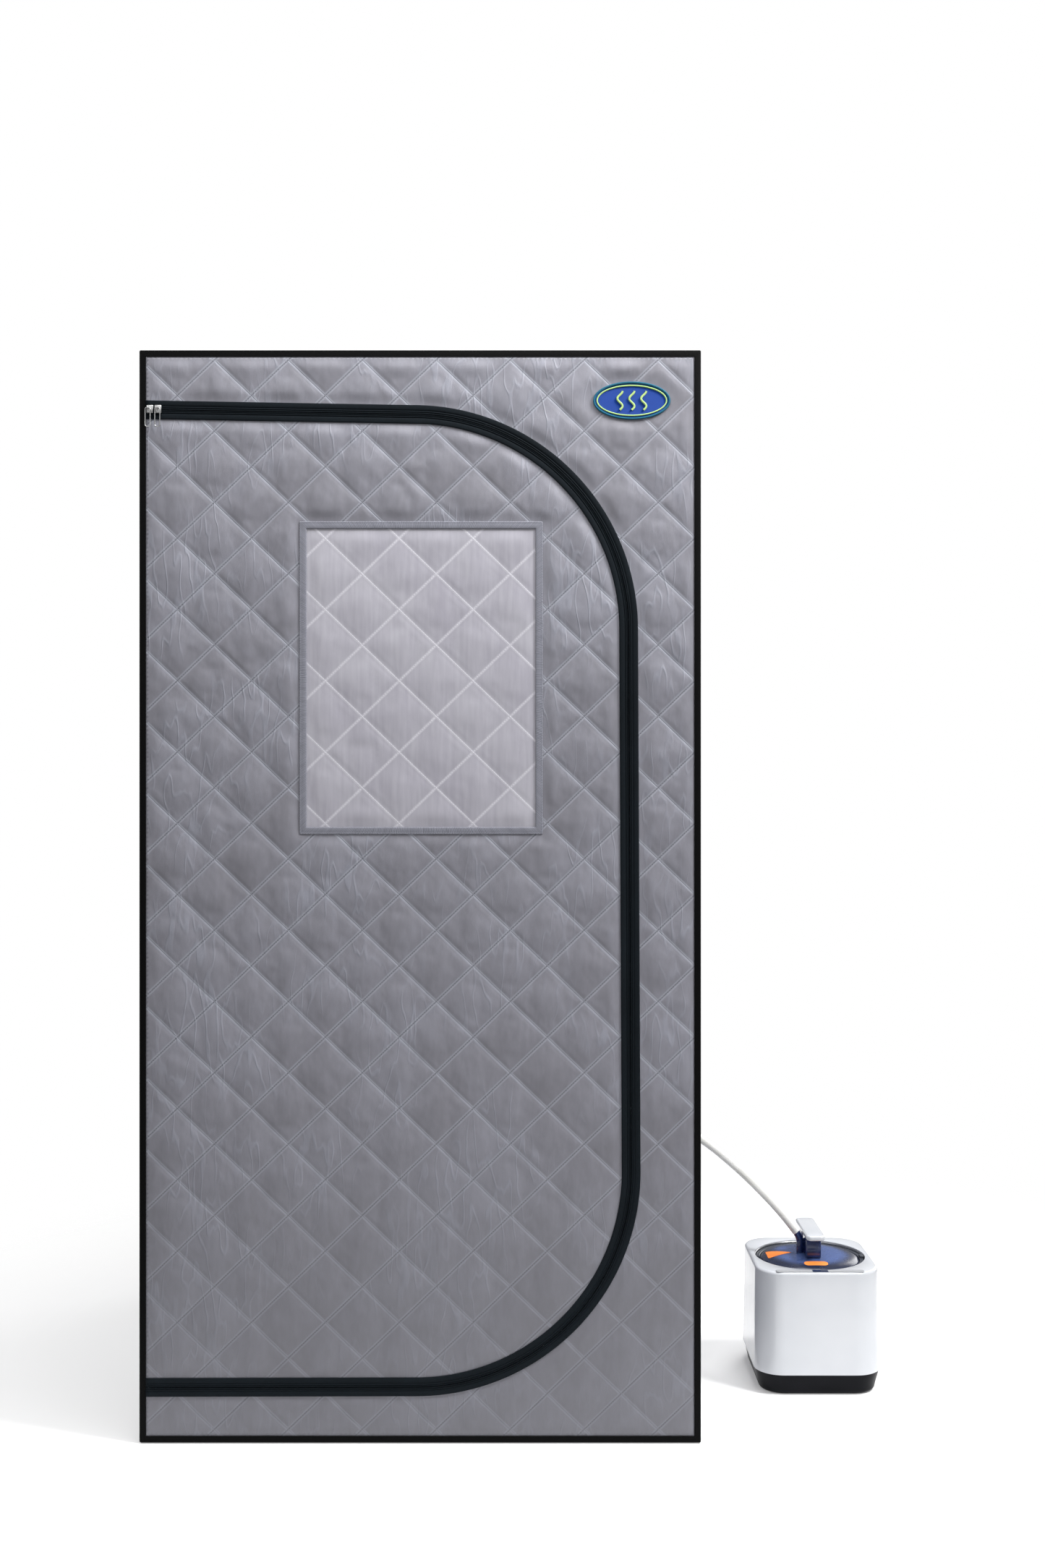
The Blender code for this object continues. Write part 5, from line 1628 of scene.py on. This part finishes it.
def pull(side):
    low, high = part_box(f"zip_pull_{side}")
    size, middle = high - low, (low + high) / 2
    loop = outline(size.x - 2 * WIRE, size.z - 2 * WIRE, PULL_CORNER, 96)
    points = [(middle.x + x, middle.y, middle.z + z) for x, z in loop]
    wire = tube_along(f"pull_{side}", points, WIRE, ZIP_METAL, sides=16, cyclic=True)
    return dress(wire, f"pull_{side}", "zip_metal", f"zip_pull_{side}")


for side in ("left", "right"):
    slider(side)
    pull(side)
print("two sliders and two pulls")

# %% [markdown]
# The frame inside is thin steel tube in plastic corners. It shows through the open door. The CAD's tubes have
# few sides, so each is redrawn as a smooth one from its own box. One corner is made from three sleeves and a
# ball, and mirrored to the other seven.

# %% Tubes and corners
SLEEVE, SLEEVE_LENGTH = 0.0105, 0.042
POST_JOINT, POST_GAP = 0.8750, 0.0003


def tube(node):
    low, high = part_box(node)
    if node.startswith("lower_post"):
        high.z = POST_JOINT
    if node.startswith("upper_post"):
        low.z = POST_JOINT + POST_GAP
    size, middle = high - low, (low + high) / 2
    axis = max(range(3), key=lambda i: size[i])
    radius = min(size) / 2
    turn = {X: Matrix.Rotation(math.pi / 2, 4, "Y"), Y: Matrix.Rotation(math.pi / 2, 4, "X"), Z: Matrix.Identity(4)}
    form = bmesh.new()
    bmesh.ops.create_cone(form, cap_ends=True, segments=40, radius1=radius, radius2=radius, depth=size[axis],
                          matrix=Matrix.Translation(middle) @ turn[axis])
    round_edges(form, [e for e in form.edges if not e.is_contiguous or e.calc_face_angle(0) > 1.0], 0.0005, 2)
    name = node.replace("_post", "_tube").replace("_rail", "_tube")
    return dress(piece_of(name, mesh_from(form, name), TUBE_STEEL), "root", "frame_tube", node)


def joined(first, others):
    for number, other in enumerate(others):
        join = first.modifiers.new(f"join_{number}", "BOOLEAN")
        join.object, join.operation, join.solver = other, "UNION", "EXACT"
    done = applied(first)
    for other in others:
        bpy.data.objects.remove(other, do_unlink=True)
    return done


def sleeve(way):
    form = bmesh.new()
    bmesh.ops.create_cone(form, cap_ends=True, segments=40, radius1=SLEEVE, radius2=SLEEVE,
                          depth=SLEEVE_LENGTH, matrix=Matrix.Translation((0, 0, SLEEVE_LENGTH / 2)))
    rim = [e for e in form.edges if all(v.co.z > SLEEVE_LENGTH - MM for v in e.verts)]
    round_edges(form, rim, 0.0012, 3)
    turn = {X: Matrix.Rotation(math.pi / 2, 4, "Y"), Y: Matrix.Rotation(-math.pi / 2, 4, "X"),
            Z: Matrix.Identity(4)}
    bmesh.ops.transform(form, matrix=turn[way], verts=form.verts)
    return piece_of("sleeve", mesh_from(form, "sleeve"), FITTING)


def corner_master():
    form = bmesh.new()
    bmesh.ops.create_icosphere(form, subdivisions=4, radius=SLEEVE * 1.02)
    ball = piece_of("corner_master", mesh_from(form, "corner_master"), FITTING)
    return joined(ball, [sleeve(X), sleeve(Y), sleeve(Z)])


def corner(master, node):
    low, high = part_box(node)
    middle = (low + high) / 2
    side = (1 if middle.x < 0 else -1, 1 if middle.y < 0 else -1, 1 if middle.z < 0.9 else -1)
    ends = [(low if way > 0 else high)[i] + way * SLEEVE for i, way in enumerate(side)]
    form = bmesh.new()
    form.from_mesh(master.data)
    bmesh.ops.scale(form, vec=side, verts=form.verts)
    bmesh.ops.translate(form, vec=ends, verts=form.verts)
    name = node.replace("corner", "fitting")
    return dress(piece_of(name, mesh_from(form, name), FITTING), "root", "frame_fitting", node)


tubes = [tube(name) for name in sorted(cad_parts) if "_rail_" in name or "_post_" in name]
master = corner_master()
corners = [corner(master, name) for name in sorted(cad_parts) if "_corner_" in name]
bpy.data.objects.remove(master, do_unlink=True)
print(len(tubes), "tubes,", len(corners), "corners")
